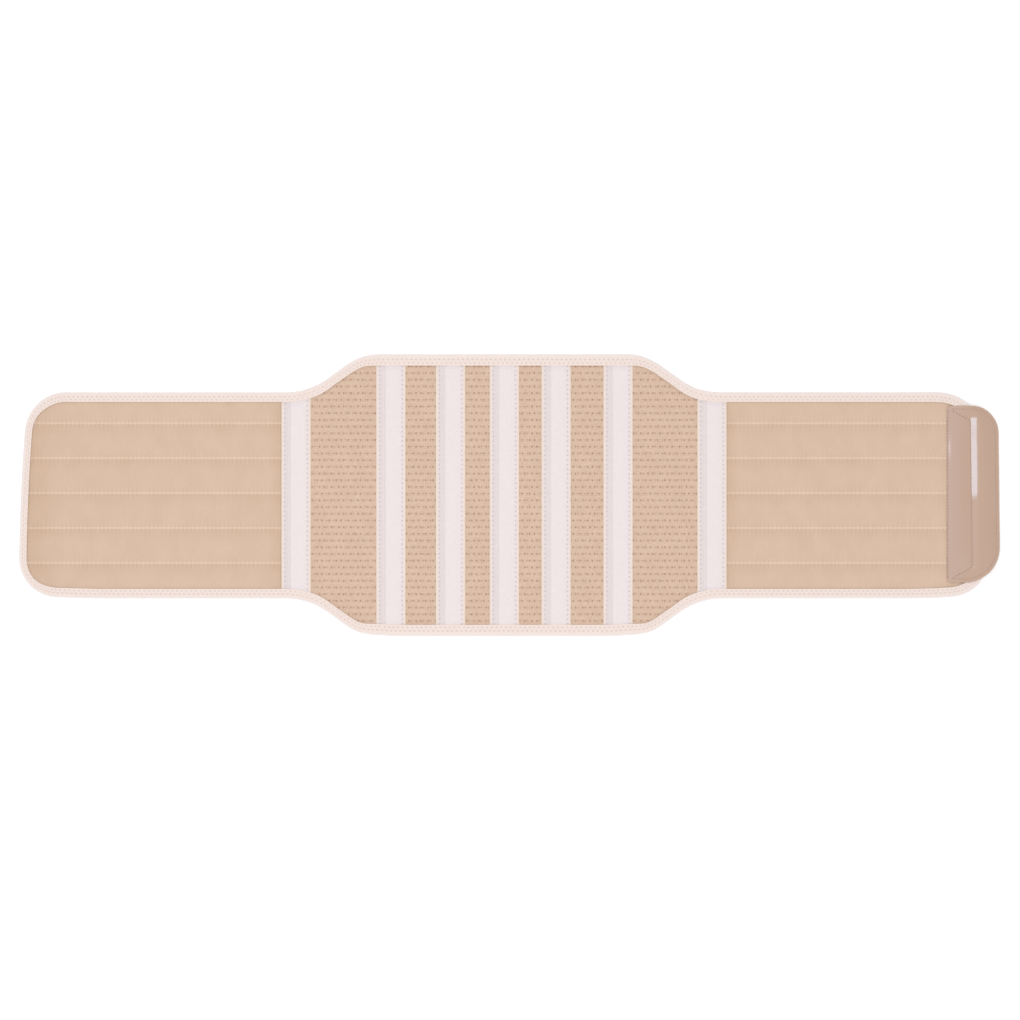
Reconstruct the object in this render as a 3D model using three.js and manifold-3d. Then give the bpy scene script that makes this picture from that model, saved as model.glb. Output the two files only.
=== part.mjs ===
// A waist warming belt, laid flat with its outer face up: a padded back panel, two ribbed elastic
// wings, woven tapes over the stays and the joins, one binding all round and a closure tab.
//
// Millimetres. +X runs along the belt, +Y up the wearer's back and +Z up from the table.
// The origin is on the table, under the middle of the back panel.

import * as THREE from "three";
import { ParametricGeometry } from "three/addons/geometries/ParametricGeometry.js";
import { mergeVertices } from "three/addons/utils/BufferGeometryUtils.js";
import Module from "manifold-3d";

const wasm = await Module();
wasm.setup();
const { smoothstep, clamp, lerp, degToRad } = THREE.MathUtils;

// The cut of the belt, over its binding
const BACK_HEIGHT = 250;
const BACK_HALF_LENGTH = 111; // from the spine line to the start of the taper
const WING_HEIGHT = 183;
const HALF_LENGTH = 429; // from the spine line to the middle of either end
const TAPER_ANGLE = degToRad(36);
const SHOULDER_RADIUS = 51; // where the back panel turns into the taper
const HOLLOW_RADIUS = 65; // where the taper runs out into the wing
const CORNER_RADIUS = 36;
const END_LEAN = 0.044; // how far each end runs outwards for each millimetre down

// The tapes sewn on the back panel and over its two joins with the wings
const TAPE_WIDTH = 25.5;
const STAY_TAPE_X = [-101, -47, 0, 47, 101];
const JOIN_X = 185;

// Layers, as heights above the table
const GAP = 0.3; // between neighbouring pieces
const CLOTH_TOP = 3.4; // the pads where a tape is sewn on them, and the crowns of the ribs
const SEAM_TOP = 2.6; // the wings along their sewn seams
const PANEL_PUFF = 1.0; // how far the back panel stands up between two tapes
const TAPE_RISE = 1.7; // a tape over its stay

// The ribbed wings
const SEAM_PITCH = 31.3;
const MIDDLE_SEAM_Y = 2;
const SEAMS_EACH_SIDE = 2;
const PRESSED_SHARE = 0.7; // of a rib's rise that is left under a join tape
const PRESSED_RUN = 6; // the length over which a rib recovers beside the tape

// The binding, a knitted tape folded over the raw edges
const BINDING_WIDTH = 9.2;
const BINDING_HEIGHT = 4.2;
const BINDING_TAPE = 0.9; // thickness of the tape
const FOLD_DEPTH = 1.2; // from the fold's outside to the end of the slot inside it

// The closure tab over the right end, with the hook patch beneath it
const TAB_LEFT = 394.5;
const TAB_RIGHT = 441.3;
const TAB_HALF_HEIGHT = 79.3;
const TAB_CORNERS = { upperRight: 24, lowerRight: 30, left: 3 };
const TAB_THICKNESS = 1.0;
const HOOK_THICKNESS = 1.0;
const HOOK_INSET = 1.5; // of the hook patch from the tab's outline
const LIFT_RUN = 50; // the length over which the cloth climbs onto the hook patch

// How finely curves are drawn
const ARC_STEPS = 6;
const LIFT_STEPS = 6;
const TAB_STEPS = { along: 20, end: 8 };

const bendRadii = SHOULDER_RADIUS + HOLLOW_RADIUS;
const straightDrop = (BACK_HEIGHT - WING_HEIGHT) / 2 - bendRadii * (1 - Math.cos(TAPER_ANGLE));
const TAPER_END =
  BACK_HALF_LENGTH + bendRadii * Math.sin(TAPER_ANGLE) + straightDrop / Math.tan(TAPER_ANGLE);
const LIFT_LEFT = TAB_LEFT - LIFT_RUN;
const CORNER_X = HALF_LENGTH - CORNER_RADIUS;
const CORNER_Y = WING_HEIGHT / 2 - CORNER_RADIUS;
const WINDOW_INSET = BINDING_WIDTH + GAP; // where the cloth shows inside the binding
const TONGUE_INSET = FOLD_DEPTH + GAP; // the cloth's own edge, pressed flat inside the binding
const TONGUE_UNDER = BINDING_TAPE + GAP;
const TONGUE_TOP = BINDING_HEIGHT - TONGUE_UNDER;

const line = (ax, ay, bx, by) => new THREE.LineCurve(new THREE.Vector2(ax, ay), new THREE.Vector2(bx, by));
const arc = (x, y, radius, from, to) => new THREE.EllipseCurve(x, y, radius, radius, from, to, to < from);
const spaced = (from, to, steps) => Array.from({ length: steps + 1 }, (_, i) => lerp(from, to, i / steps));

// The cloth lies on the table, and its right end rides up over the hook patch.
function lift(x) {
  return (HOOK_THICKNESS + GAP) * smoothstep(x, LIFT_LEFT, TAB_LEFT);
}

// A quarter of the belt's outline, from the spine line at the lower edge to the middle of the right end.
function quarterOutline(inset) {
  const back = inset - BACK_HEIGHT / 2;
  const wing = inset - WING_HEIGHT / 2;
  const down = -Math.PI / 2;
  const up = Math.PI / 2;
  const shoulder = arc(
    BACK_HALF_LENGTH, SHOULDER_RADIUS - BACK_HEIGHT / 2, SHOULDER_RADIUS - inset, down, down + TAPER_ANGLE,
  );
  const hollow = arc(
    TAPER_END, -WING_HEIGHT / 2 - HOLLOW_RADIUS, HOLLOW_RADIUS + inset, up + TAPER_ANGLE, up,
  );
  const corner = arc(CORNER_X, -CORNER_Y, CORNER_RADIUS - inset, down, 0);
  const pieces = [
    { curve: line(0, back, BACK_HALF_LENGTH, back), steps: 1 },
    { curve: shoulder, steps: ARC_STEPS },
    { curve: new THREE.LineCurve(shoulder.getPoint(1), hollow.getPoint(0)), steps: 1 },
    { curve: hollow, steps: ARC_STEPS },
    { curve: line(TAPER_END, wing, LIFT_LEFT, wing), steps: 1 },
    { curve: line(LIFT_LEFT, wing, CORNER_X, wing), steps: LIFT_STEPS },
    { curve: corner, steps: ARC_STEPS },
    { curve: line(HALF_LENGTH - inset, -CORNER_Y, HALF_LENGTH - inset, 0), steps: 1 },
  ];
  const points = pieces.flatMap(({ curve, steps }) => curve.getPoints(steps).slice(0, -1));
  return [...points, new THREE.Vector2(HALF_LENGTH - inset, 0)];
}

// The whole outline, anticlockwise, with the ends leaning outwards towards the lower edge.
function beltOutline(inset) {
  const lower = quarterOutline(inset);
  const upper = lower.slice(0, -1).reverse().map((p) => new THREE.Vector2(p.x, -p.y));
  const right = [...lower, ...upper];
  const left = right.slice(1, -1).reverse().map((p) => new THREE.Vector2(-p.x, p.y));
  return [...right, ...left].map((p) => {
    const share = clamp((Math.abs(p.x) - TAPER_END) / (CORNER_X - TAPER_END), 0, 1);
    return new THREE.Vector2(p.x - Math.sign(p.x) * share * END_LEAN * p.y, p.y);
  });
}

// The tab's outline: nearly square at its sewn left edge, well rounded at its free right edge.
function tabOutline(inset) {
  const { upperRight, lowerRight, left } = TAB_CORNERS;
  const corners = [
    { x: TAB_LEFT + left, y: left - TAB_HALF_HEIGHT, radius: left, from: Math.PI },
    { x: TAB_RIGHT - lowerRight, y: lowerRight - TAB_HALF_HEIGHT, radius: lowerRight, from: 1.5 * Math.PI },
    { x: TAB_RIGHT - upperRight, y: TAB_HALF_HEIGHT - upperRight, radius: upperRight, from: 0 },
    { x: TAB_LEFT + left, y: TAB_HALF_HEIGHT - left, radius: left, from: Math.PI / 2 },
  ];
  return corners.flatMap(({ x, y, radius, from }) =>
    arc(x, y, radius - inset, from, from + Math.PI / 2).getPoints(ARC_STEPS),
  );
}

// Solids
function solid(geometry) {
  const position = (geometry.index ? geometry.toNonIndexed() : geometry).getAttribute("position");
  const merged = mergeVertices(new THREE.BufferGeometry().setAttribute("position", position), 1e-4);
  return new wasm.Manifold(
    new wasm.Mesh({
      numProp: 3,
      vertProperties: merged.getAttribute("position").array,
      triVerts: new Uint32Array(merged.index.array),
    }),
  );
}

// A straight-sided block over an outline.
function prism(outline, under, top) {
  const options = { depth: top - under, bevelEnabled: false };
  return solid(new THREE.ExtrudeGeometry(new THREE.Shape(outline), options).translate(0, 0, under));
}

// A sheet over the given lines, whose two faces lie at heights that depend on x and y.
function sheet(xs, ys, under, top) {
  const geometry = new THREE.BoxGeometry(1, 1, 1, xs.length - 1, ys.length - 1, 1);
  const position = geometry.getAttribute("position");
  for (let i = 0; i < position.count; i++) {
    const x = xs[Math.round((position.getX(i) + 0.5) * (xs.length - 1))];
    const y = ys[Math.round((position.getY(i) + 0.5) * (ys.length - 1))];
    const height = position.getZ(i) < 0 ? under(x, y) : top(x, y);
    position.setXYZ(i, x, y, height + lift(x));
  }
  return solid(geometry);
}

const windowCutter = prism(beltOutline(WINDOW_INSET), -1, 20);
const tongueCutter = prism(beltOutline(TONGUE_INSET), -1, 20);

// A sheet cut to the belt: full thickness inside the binding's window, and a pressed edge in the binding.
function pad(xs, ys, top) {
  const middle = sheet(xs, ys, () => 0, top).intersect(windowCutter);
  const ends = [ys[0] - WINDOW_INSET, ys[ys.length - 1] + WINDOW_INSET];
  const edge = sheet(xs, ends, () => TONGUE_UNDER, () => TONGUE_TOP).intersect(tongueCutter);
  return middle.add(edge);
}

// Heights between two rows of a table, with the share across in its first column.
function tableHeight(table, across) {
  const next = Math.max(1, table.findIndex((row) => row.across >= across));
  const [a, b] = [table[next - 1], table[next]];
  return lerp(a.rise, b.rise, (across - a.across) / (b.across - a.across));
}

// The back panel: flat where a tape is sewn on it, and puffed up between one tape and the next
const PUFF_PROFILE = [
  { across: 0, rise: 0 },
  { across: 0.12, rise: 0.5 },
  { across: 0.28, rise: 0.85 },
  { across: 0.5, rise: 1 },
  { across: 0.72, rise: 0.85 },
  { across: 0.88, rise: 0.5 },
  { across: 1, rise: 0 },
];

function backPanel() {
  const tapes = [-JOIN_X, ...STAY_TAPE_X, JOIN_X];
  const strips = tapes.slice(1).map((x, i) => ({ from: tapes[i] + TAPE_WIDTH / 2, to: x - TAPE_WIDTH / 2 }));
  const edge = JOIN_X - GAP / 2;
  const xs = strips.flatMap(({ from, to }) => PUFF_PROFILE.map(({ across }) => lerp(from, to, across)));
  const top = (x) => {
    const strip = strips.find(({ from, to }) => x >= from && x <= to);
    if (!strip) return CLOTH_TOP;
    return CLOTH_TOP + PANEL_PUFF * tableHeight(PUFF_PROFILE, (x - strip.from) / (strip.to - strip.from));
  };
  return pad([-edge, ...xs, edge], spaced(-BACK_HEIGHT / 2, BACK_HEIGHT / 2, 1), top);
}

// A wing: elastic cloth with ribs along its length, drawn down at the seams between them
const RIB_PROFILE = [
  { across: 0, rise: 0 },
  { across: 0.05, rise: 0.55 },
  { across: 0.13, rise: 0.85 },
  { across: 0.25, rise: 1 },
  { across: 0.75, rise: 1 },
  { across: 0.87, rise: 0.85 },
  { across: 0.95, rise: 0.55 },
  { across: 1, rise: 0 },
];

function wing(side) {
  const tapeEdge = JOIN_X + TAPE_WIDTH / 2;
  const window = WING_HEIGHT / 2 - WINDOW_INSET;
  const seams = spaced(-SEAMS_EACH_SIDE, SEAMS_EACH_SIDE, 2 * SEAMS_EACH_SIDE);
  const bounds = [-window, ...seams.map((n) => MIDDLE_SEAM_Y + n * SEAM_PITCH), window];
  const ribs = bounds.slice(1).map((to, i) => ({ from: bounds[i], to }));
  const lines = ribs.flatMap(({ from, to }) => RIB_PROFILE.map(({ across }) => lerp(from, to, across)));
  const ys = lines.filter((y, i) => i === 0 || y - lines[i - 1] > GAP);
  const top = (x, y) => {
    const rib = ribs.find(({ from, to }) => y >= from && y <= to) ?? ribs[0];
    const across = clamp((y - rib.from) / (rib.to - rib.from), 0, 1);
    const share = lerp(PRESSED_SHARE, 1, smoothstep(Math.abs(x), tapeEdge, tapeEdge + PRESSED_RUN));
    return SEAM_TOP + (CLOTH_TOP - SEAM_TOP) * share * tableHeight(RIB_PROFILE, across);
  };
  const lifted = side > 0 ? spaced(LIFT_LEFT, TAB_LEFT, LIFT_STEPS) : [];
  const past = HALF_LENGTH + CORNER_RADIUS;
  const xs = [JOIN_X + GAP / 2, tapeEdge, tapeEdge + PRESSED_RUN, ...lifted, past];
  return pad(xs.map((x) => side * x).sort((a, b) => a - b), ys, top);
}

// A woven tape: flat selvedges, sewn down, and a raised channel between them
const TAPE_PROFILE = [
  { across: 0, rise: 0.45 },
  { across: 0.17, rise: 0.5 },
  { across: 0.26, rise: 0.82 },
  { across: 0.4, rise: 0.97 },
  { across: 0.5, rise: 1 },
  { across: 0.6, rise: 0.97 },
  { across: 0.74, rise: 0.82 },
  { across: 0.83, rise: 0.5 },
  { across: 1, rise: 0.45 },
];

function tape(middle) {
  const under = CLOTH_TOP + GAP;
  const left = middle - TAPE_WIDTH / 2;
  const xs = TAPE_PROFILE.map(({ across }) => left + across * TAPE_WIDTH);
  const top = (x) => under + TAPE_RISE * tableHeight(TAPE_PROFILE, clamp((x - left) / TAPE_WIDTH, 0, 1));
  return sheet(xs, [-BACK_HEIGHT / 2, BACK_HEIGHT / 2], () => under, top).intersect(windowCutter);
}

// The binding: rows of its section, going from the outer fold over the top lip and back along the slot
function edgeBinding() {
  const middle = BINDING_HEIGHT / 2;
  const fold = spaced(-Math.PI / 2, Math.PI / 2, ARC_STEPS).map((angle) => ({
    inset: middle * (1 - Math.cos(angle)),
    height: middle * (1 + Math.sin(angle)),
  }));
  const section = [
    { inset: BINDING_WIDTH, height: 0 },
    ...fold,
    { inset: BINDING_WIDTH, height: BINDING_HEIGHT - GAP },
    { inset: BINDING_WIDTH, height: BINDING_HEIGHT - BINDING_TAPE },
    { inset: FOLD_DEPTH, height: BINDING_HEIGHT - BINDING_TAPE },
    { inset: FOLD_DEPTH, height: BINDING_TAPE },
    { inset: BINDING_WIDTH, height: BINDING_TAPE },
  ];
  const loops = section.map(({ inset }) => beltOutline(inset));
  const [around, across] = [loops[0].length, section.length];
  const place = (u, v, target) => {
    const row = Math.round(v * across) % across;
    const point = loops[row][Math.round(u * around) % around];
    target.set(point.x, point.y, section[row].height + lift(point.x));
  };
  return solid(new ParametricGeometry(place, around, across));
}

// How deep a point lies inside the right end's edge, and below zero how far outside it
function depthInEnd(x, y) {
  const along = x + END_LEAN * y - CORNER_X;
  const beside = Math.abs(y) - CORNER_Y;
  const outside = Math.hypot(Math.max(along, 0), Math.max(beside, 0));
  return CORNER_RADIUS - outside - Math.min(Math.max(along, beside), 0);
}

// The tab's film: low on the wing, over the binding, and down to the hook patch past the belt's end
const FILM_RISE = 3; // from the foot of the slope to the binding's inner edge
const FILM_DROP = 9; // from the belt's edge out to where the film lies on the hook patch

function closureTab() {
  const high = BINDING_HEIGHT + GAP;
  const under = (x, y) => {
    const depth = depthInEnd(x, y);
    if (depth < 0) return lerp(high, 0, smoothstep(-depth, 0, FILM_DROP));
    const overBinding = 1 - smoothstep(depth, WINDOW_INSET, WINDOW_INSET + FILM_RISE);
    return lerp(CLOTH_TOP + GAP, high, overBinding);
  };
  const xs = spaced(TAB_LEFT, TAB_RIGHT, TAB_STEPS.along);
  const ends = spaced(CORNER_Y, TAB_HALF_HEIGHT, TAB_STEPS.end);
  const ys = [...ends.map((y) => -y).reverse(), ...ends];
  const film = sheet(xs, ys, under, (x, y) => under(x, y) + TAB_THICKNESS);
  return film.intersect(prism(tabOutline(0), -1, 20));
}

// Materials
const finish = (color, roughness) => new THREE.MeshStandardMaterial({ color, roughness, metalness: 0 });
const finishes = {
  mesh_knit: finish(0xd8bca7, 0.9),
  elastic: finish(0xdabfa9, 0.85),
  woven_tape: finish(0xefe6e7, 0.75),
  binding: finish(0xf1e3dd, 0.85),
  film: finish(0xc4a896, 0.3),
  hooks: finish(0xcdb5a4, 0.5),
};

// Assembly
function piece(name, body, material) {
  const { vertProperties, triVerts } = body.getMesh();
  const geometry = new THREE.BufferGeometry()
    .setAttribute("position", new THREE.BufferAttribute(vertProperties, 3))
    .setIndex(new THREE.BufferAttribute(triVerts, 1));
  geometry.computeVertexNormals();
  const mesh = new THREE.Mesh(geometry, material);
  mesh.name = name;
  return mesh;
}

function group(name, ...children) {
  const made = new THREE.Group().add(...children);
  made.name = name;
  return made;
}

const stayTape = tape(0);
const stayTapes = STAY_TAPE_X.map((x, i) => {
  const mesh = piece(`stay_tape_${i + 1}`, stayTape, finishes.woven_tape);
  mesh.position.x = x;
  return mesh;
});

const back = group("back", piece("back_panel", backPanel(), finishes.mesh_knit), ...stayTapes);
const wings = group(
  "wings",
  piece("left_wing", wing(-1), finishes.elastic),
  piece("right_wing", wing(1), finishes.elastic),
  piece("left_join_tape", tape(-JOIN_X), finishes.woven_tape),
  piece("right_join_tape", tape(JOIN_X), finishes.woven_tape),
);
const closure = group(
  "closure",
  piece("closure_tab", closureTab(), finishes.film),
  piece("hook_patch", prism(tabOutline(HOOK_INSET), 0, HOOK_THICKNESS), finishes.hooks),
);
const binding = piece("edge_binding", edgeBinding(), finishes.binding);
const belt = group("waist_belt", back, wings, closure, binding);

export default belt;
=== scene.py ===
# %% [markdown]
# # A waist warming belt
# The belt lies flat with its outer face up: a padded back panel of perforated knit, two ribbed elastic
# wings, seven woven tapes, one binding round the whole edge and a glossy closure tab at the right end.
# The CAD model is loaded first as a fixed frame. Every piece is then modelled where its solid is, so the
# two always agree, and the CAD solids stay behind for collision.

# %% Load the frame
import math
import bpy
import numpy as np
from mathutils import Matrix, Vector
from mathutils.kdtree import KDTree


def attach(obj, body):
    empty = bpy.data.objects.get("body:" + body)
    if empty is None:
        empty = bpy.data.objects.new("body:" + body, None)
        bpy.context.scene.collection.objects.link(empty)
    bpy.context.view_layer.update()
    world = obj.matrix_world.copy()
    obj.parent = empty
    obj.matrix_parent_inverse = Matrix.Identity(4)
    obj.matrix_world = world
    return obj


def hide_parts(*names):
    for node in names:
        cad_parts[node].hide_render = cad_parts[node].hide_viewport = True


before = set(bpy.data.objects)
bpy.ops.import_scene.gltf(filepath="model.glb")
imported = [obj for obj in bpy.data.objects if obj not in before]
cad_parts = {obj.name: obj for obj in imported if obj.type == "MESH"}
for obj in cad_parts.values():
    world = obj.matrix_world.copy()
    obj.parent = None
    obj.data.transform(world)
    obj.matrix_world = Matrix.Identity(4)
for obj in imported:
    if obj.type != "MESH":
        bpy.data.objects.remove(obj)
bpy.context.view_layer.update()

MM = 0.001  # lengths below are in millimetres, and meshes are in metres

# %% [markdown]
# ## Camera and floor
# The photograph looks straight down with hardly any perspective. A long lens far above the table gives the
# same view. The picture's middle isn't the belt's origin, so the camera stands a few millimetres beside it.

# %% Camera
IMAGE_SIZE = 1020  # pixels, both ways
PIXEL = 0.89  # millimetres of belt under one pixel
ORIGIN_PIXEL = (503.7, 495.0)  # where the belt's origin lies in the picture
LENS = 100
SENSOR = 36
BELT_TOP = 4.0  # the height at which the scale holds

view_width = IMAGE_SIZE * PIXEL
camera_place = (
    (IMAGE_SIZE / 2 - ORIGIN_PIXEL[0]) * PIXEL * MM,
    (ORIGIN_PIXEL[1] - IMAGE_SIZE / 2) * PIXEL * MM,
    (view_width * LENS / SENSOR + BELT_TOP) * MM,
)
bpy.ops.object.camera_add(location=camera_place, rotation=(0, 0, 0))
camera = bpy.context.object
camera.data.lens = LENS
camera.data.sensor_width = SENSOR
bpy.context.scene.camera = camera
bpy.context.scene.view_settings.view_transform = "Standard"
print("camera at", [round(value, 3) for value in camera_place])

# %% [markdown]
# ## Helpers for modelling
# An operator acts on everything that is selected, so each step starts by selecting one piece alone. Moving
# many points at once is quicker on an array than point by point, so two helpers read and write a mesh's
# points in millimetres.

# %% Selecting, reading and writing
def alone(piece):
    """Leaves object mode as the mode, and one piece as the only thing selected."""
    if bpy.context.object and bpy.context.object.mode != "OBJECT":
        bpy.ops.object.mode_set(mode="OBJECT")
    bpy.ops.object.select_all(action="DESELECT")
    if piece:
        piece.select_set(True)
        bpy.context.view_layer.objects.active = piece


def points_of(piece):
    """A mesh's points, in millimetres."""
    found = np.empty(len(piece.data.vertices) * 3)
    piece.data.vertices.foreach_get("co", found)
    return found.reshape(-1, 3) / MM


def move_points(piece, points):
    """Writes a mesh's points, in millimetres."""
    piece.data.vertices.foreach_set("co", (points * MM).ravel())
    piece.data.update()


def corners_of(piece):
    """The point numbers of each face, for a mesh that has only quads."""
    found = np.empty(len(piece.data.polygons) * 4, dtype=int)
    piece.data.polygons.foreach_get("vertices", found)
    return found.reshape(-1, 4)


def edit_faces(piece, chosen):
    """Opens a piece in edit mode with only the chosen faces selected."""
    alone(piece)
    bpy.ops.object.mode_set(mode="EDIT")
    bpy.ops.mesh.select_mode(type="FACE")
    bpy.ops.mesh.select_all(action="DESELECT")
    bpy.ops.object.mode_set(mode="OBJECT")
    piece.data.polygons.foreach_set("select", chosen)
    bpy.ops.object.mode_set(mode="EDIT")


def edit_all(piece):
    """Opens a piece in edit mode with all its faces selected."""
    edit_faces(piece, np.ones(len(piece.data.polygons), dtype=bool))


def smoothstep(value, low, high):
    """0 below low, 1 above high and a soft step between them."""
    share = np.clip((value - low) / (high - low), 0, 1)
    return share * share * (3 - 2 * share)


def plateau(value, start, full, ease, end):
    """1 between full and ease, falling softly to 0 at the start and at the end."""
    return smoothstep(value, start, full) * (1 - smoothstep(value, ease, end))


def sheet_over(name, xs, ys):
    """A flat sheet of quads, with its columns at xs and its rows at ys."""
    alone(None)
    columns, rows = len(xs) - 1, len(ys) - 1
    bpy.ops.mesh.primitive_grid_add(x_subdivisions=columns, y_subdivisions=rows, size=1)
    piece = bpy.context.object
    piece.name = piece.data.name = name
    points = points_of(piece) * MM
    column = np.rint((points[:, 0] + 0.5) * columns).astype(int)
    row = np.rint((points[:, 1] + 0.5) * rows).astype(int)
    flat = np.column_stack([np.asarray(xs)[column], np.asarray(ys)[row], np.zeros(len(points))])
    move_points(piece, flat)
    return piece


def tidy_normals(piece):
    """Turns every face of a closed piece outwards."""
    edit_all(piece)
    bpy.ops.mesh.normals_make_consistent(inside=False)
    bpy.ops.object.mode_set(mode="OBJECT")


def report_piece(piece):
    """Prints a piece's size, and its triangles."""
    points = points_of(piece)
    piece.data.calc_loop_triangles()
    size = np.round(np.ptp(points, axis=0), 1).tolist()
    print(f"{piece.name}: {size} mm, {len(piece.data.loop_triangles)} triangles")


print("helpers ready")

# %% [markdown]
# ## Studio light
# The picture is bright and nearly without shadow, as under a white tent. A white sky gives most of the
# light. One large softbox up on the left gives the tab its highlights, and a dimmer one on the other side
# keeps the right wing as bright as the left.

# %% Sky and softboxes
SKY_STRENGTH = 0.85

world = bpy.data.worlds.new("studio")
world.use_nodes = True
world.node_tree.nodes["Background"].inputs["Color"].default_value = (1, 1, 1, 1)
world.node_tree.nodes["Background"].inputs["Strength"].default_value = SKY_STRENGTH
bpy.context.scene.world = world


def softbox(name, place, aim, width, height, brightness):
    """A flat light that faces a point; brightness is what its face would show in the picture."""
    alone(None)
    bpy.ops.object.light_add(type="AREA", location=place)
    lamp = bpy.context.object
    lamp.name = lamp.data.name = name
    lamp.data.shape = "RECTANGLE"
    lamp.data.size = width
    lamp.data.size_y = height
    lamp.data.energy = brightness * width * height * math.pi
    lamp.rotation_euler = (Vector(aim) - Vector(place)).to_track_quat("-Z", "Y").to_euler()


softbox("left_softbox", (-0.47, 0.1, 1.65), aim=(0.2, 0, 0), width=0.5, height=0.9, brightness=5.0)
softbox("right_softbox", (0.9, -0.9, 1.8), aim=(0.1, 0, 0), width=1.0, height=1.0, brightness=1.8)

# %% [markdown]
# ## Shader maths
# A weave is mostly waves and masks, and those read best as formulas. One small class wraps a node's output,
# so that `0.5 + 0.2 * x.wave(1.2)` adds the Math nodes that it needs. Colours go through Mix nodes instead,
# because a Math node would turn a colour grey.

# %% One class for shader maths
class Wire:
    """One output of a shader node. Arithmetic on wires adds Math nodes to their material."""

    def __init__(self, socket):
        self.socket = socket

    def node(self, kind, settings, sockets, output=0):
        """Adds a node: first its settings, then the values or wires of its sockets."""
        tree = self.socket.id_data
        made = tree.nodes.new(kind)
        for key, value in settings.items():
            setattr(made, key, value)
        for key, value in sockets.items():
            if isinstance(value, Wire):
                tree.links.new(value.socket, made.inputs[key])
            else:
                made.inputs[key].default_value = value
        return Wire(made.outputs[output])

    def maths(self, operation, *others):
        return self.node("ShaderNodeMath", {"operation": operation}, dict(enumerate((self, *others))))

    def __add__(self, other):
        return self.maths("ADD", other)

    def __sub__(self, other):
        return self.maths("SUBTRACT", other)

    def __mul__(self, other):
        return self.maths("MULTIPLY", other)

    def __rsub__(self, other):
        return self * -1 + other

    __radd__ = __add__
    __rmul__ = __mul__

    def wave(self, pitch):
        """A wave between -1 and 1 with this pitch."""
        return (self * (2 * math.pi / pitch)).maths("SINE")

    def step(self, low, high):
        """0 below low, 1 above high and a soft step between them."""
        sockets = {"Value": self, "From Min": low, "From Max": high}
        return self.node("ShaderNodeMapRange", {"interpolation_type": "SMOOTHSTEP"}, sockets)

    def near(self, middle, reach):
        """1 at the middle, falling softly to 0 at the reach on both sides."""
        return 1 - (self - middle).maths("ABSOLUTE").step(0, reach)

    def mix(self, low, high):
        """The first colour where this is 0, the second where it is 1."""
        return self.node("ShaderNodeMix", {"data_type": "RGBA"}, {0: self, 6: low, 7: high}, output=2)

    def parts(self, scale):
        """A vector's three parts, each times a scale."""
        split = self.node("ShaderNodeSeparateXYZ", {}, {"Vector": self}).socket.node
        return [Wire(socket) * scale for socket in split.outputs]

    def noise(self, scale, detail=2):
        """Soft patches between about -0.5 and 0.5; scale is a number, or three for stretched patches."""
        stretch = scale if isinstance(scale, tuple) else (scale,) * 3
        spread = self.node("ShaderNodeVectorMath", {"operation": "MULTIPLY"}, {0: self, 1: stretch})
        sockets = {"Vector": spread, "Scale": 1.0, "Detail": detail}
        return self.node("ShaderNodeTexNoise", {}, sockets) - 0.5


# %% Starting and finishing a material
LIGHT_LEVEL = np.array([1.06, 1.08, 1.09])  # what a perfectly white surface shows in this light
CLOTH_SHINE = 0.2  # cloth mirrors little


def tint(red, green, blue):
    """A colour as the picture shows it, 0 to 255, turned into the surface's own colour."""
    shown = np.array([red, green, blue]) / 255
    linear = ((shown + 0.055) / 1.055) ** 2.4
    return (*(linear / LIGHT_LEVEL), 1.0)


def finish(name, roughness, coordinate="Object"):
    """A new material, its shader and the wire of its coordinates."""
    material = bpy.data.materials.new(name)
    material.use_nodes = True
    shader = material.node_tree.nodes["Principled BSDF"]
    shader.inputs["Roughness"].default_value = roughness
    shader.inputs["Specular IOR Level"].default_value = CLOTH_SHINE
    coordinates = material.node_tree.nodes.new("ShaderNodeTexCoord")
    return material, shader, Wire(coordinates.outputs[coordinate])


def paint(shader, colour, height, relief):
    """Wires a colour and a height, with its relief in millimetres, into a shader."""
    links = shader.id_data.links
    links.new(colour.socket, shader.inputs["Base Color"])
    bump = height.node("ShaderNodeBump", {}, {"Height": height, "Distance": relief * MM})
    links.new(bump.socket, shader.inputs["Normal"])


print("shader maths ready")

# %% [markdown]
# ## Floor
# A white table that fades into the white background, with the faintest unevenness. It glows a little, as a
# light table does, so that no grey rim gathers round the belt.

# %% Floor
FLOOR_SIZE = 40  # metres, so that its edge is never in the picture
FLOOR_DROP = 0.1  # below the belt, so that the two faces never coincide
TABLE_GLOW = 0.1

alone(None)
bpy.ops.mesh.primitive_plane_add(size=FLOOR_SIZE, location=(0, 0, 0))
floor = bpy.context.object
floor.name = "table"
move_points(floor, points_of(floor) - [0, 0, FLOOR_DROP])
table_white, shader, place = finish("table_white", roughness=0.9)
patches = place.noise(3.0) + 0.5
paint(shader, patches.mix((0.96, 0.96, 0.96, 1), (1.0, 1.0, 1.0, 1)), patches, relief=0.01)
shader.inputs["Emission Color"].default_value = (1, 1, 1, 1)
shader.inputs["Emission Strength"].default_value = TABLE_GLOW
floor.data.materials.append(table_white)
print("floor", floor.name)

# %% [markdown]
# ## The belt's edge
# One outline decides everything: the pads are trimmed to it, the binding runs along it and the tapes end
# in it. It is drawn as arcs joined by straight lines for one quarter and mirrored, and each end leans
# outwards a little towards the lower edge. A sewn edge is never quite true, so a few bends of less than a
# millimetre follow. Even steps along it carry the binding's stitches later.

# %% Outline
BACK_HEIGHT = 250.0
BACK_HALF_LENGTH = 111.0  # from the spine line to the start of the taper
WING_HEIGHT = 183.0
HALF_LENGTH = 429.0
TAPER_ANGLE = math.radians(36)
SHOULDER_RADIUS = 51.0
HOLLOW_RADIUS = 65.0
CORNER_RADIUS = 36.0
END_LEAN = 0.044
QUARTER_TURN = math.pi / 2
OUTLINE_STEPS = 4000

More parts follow.
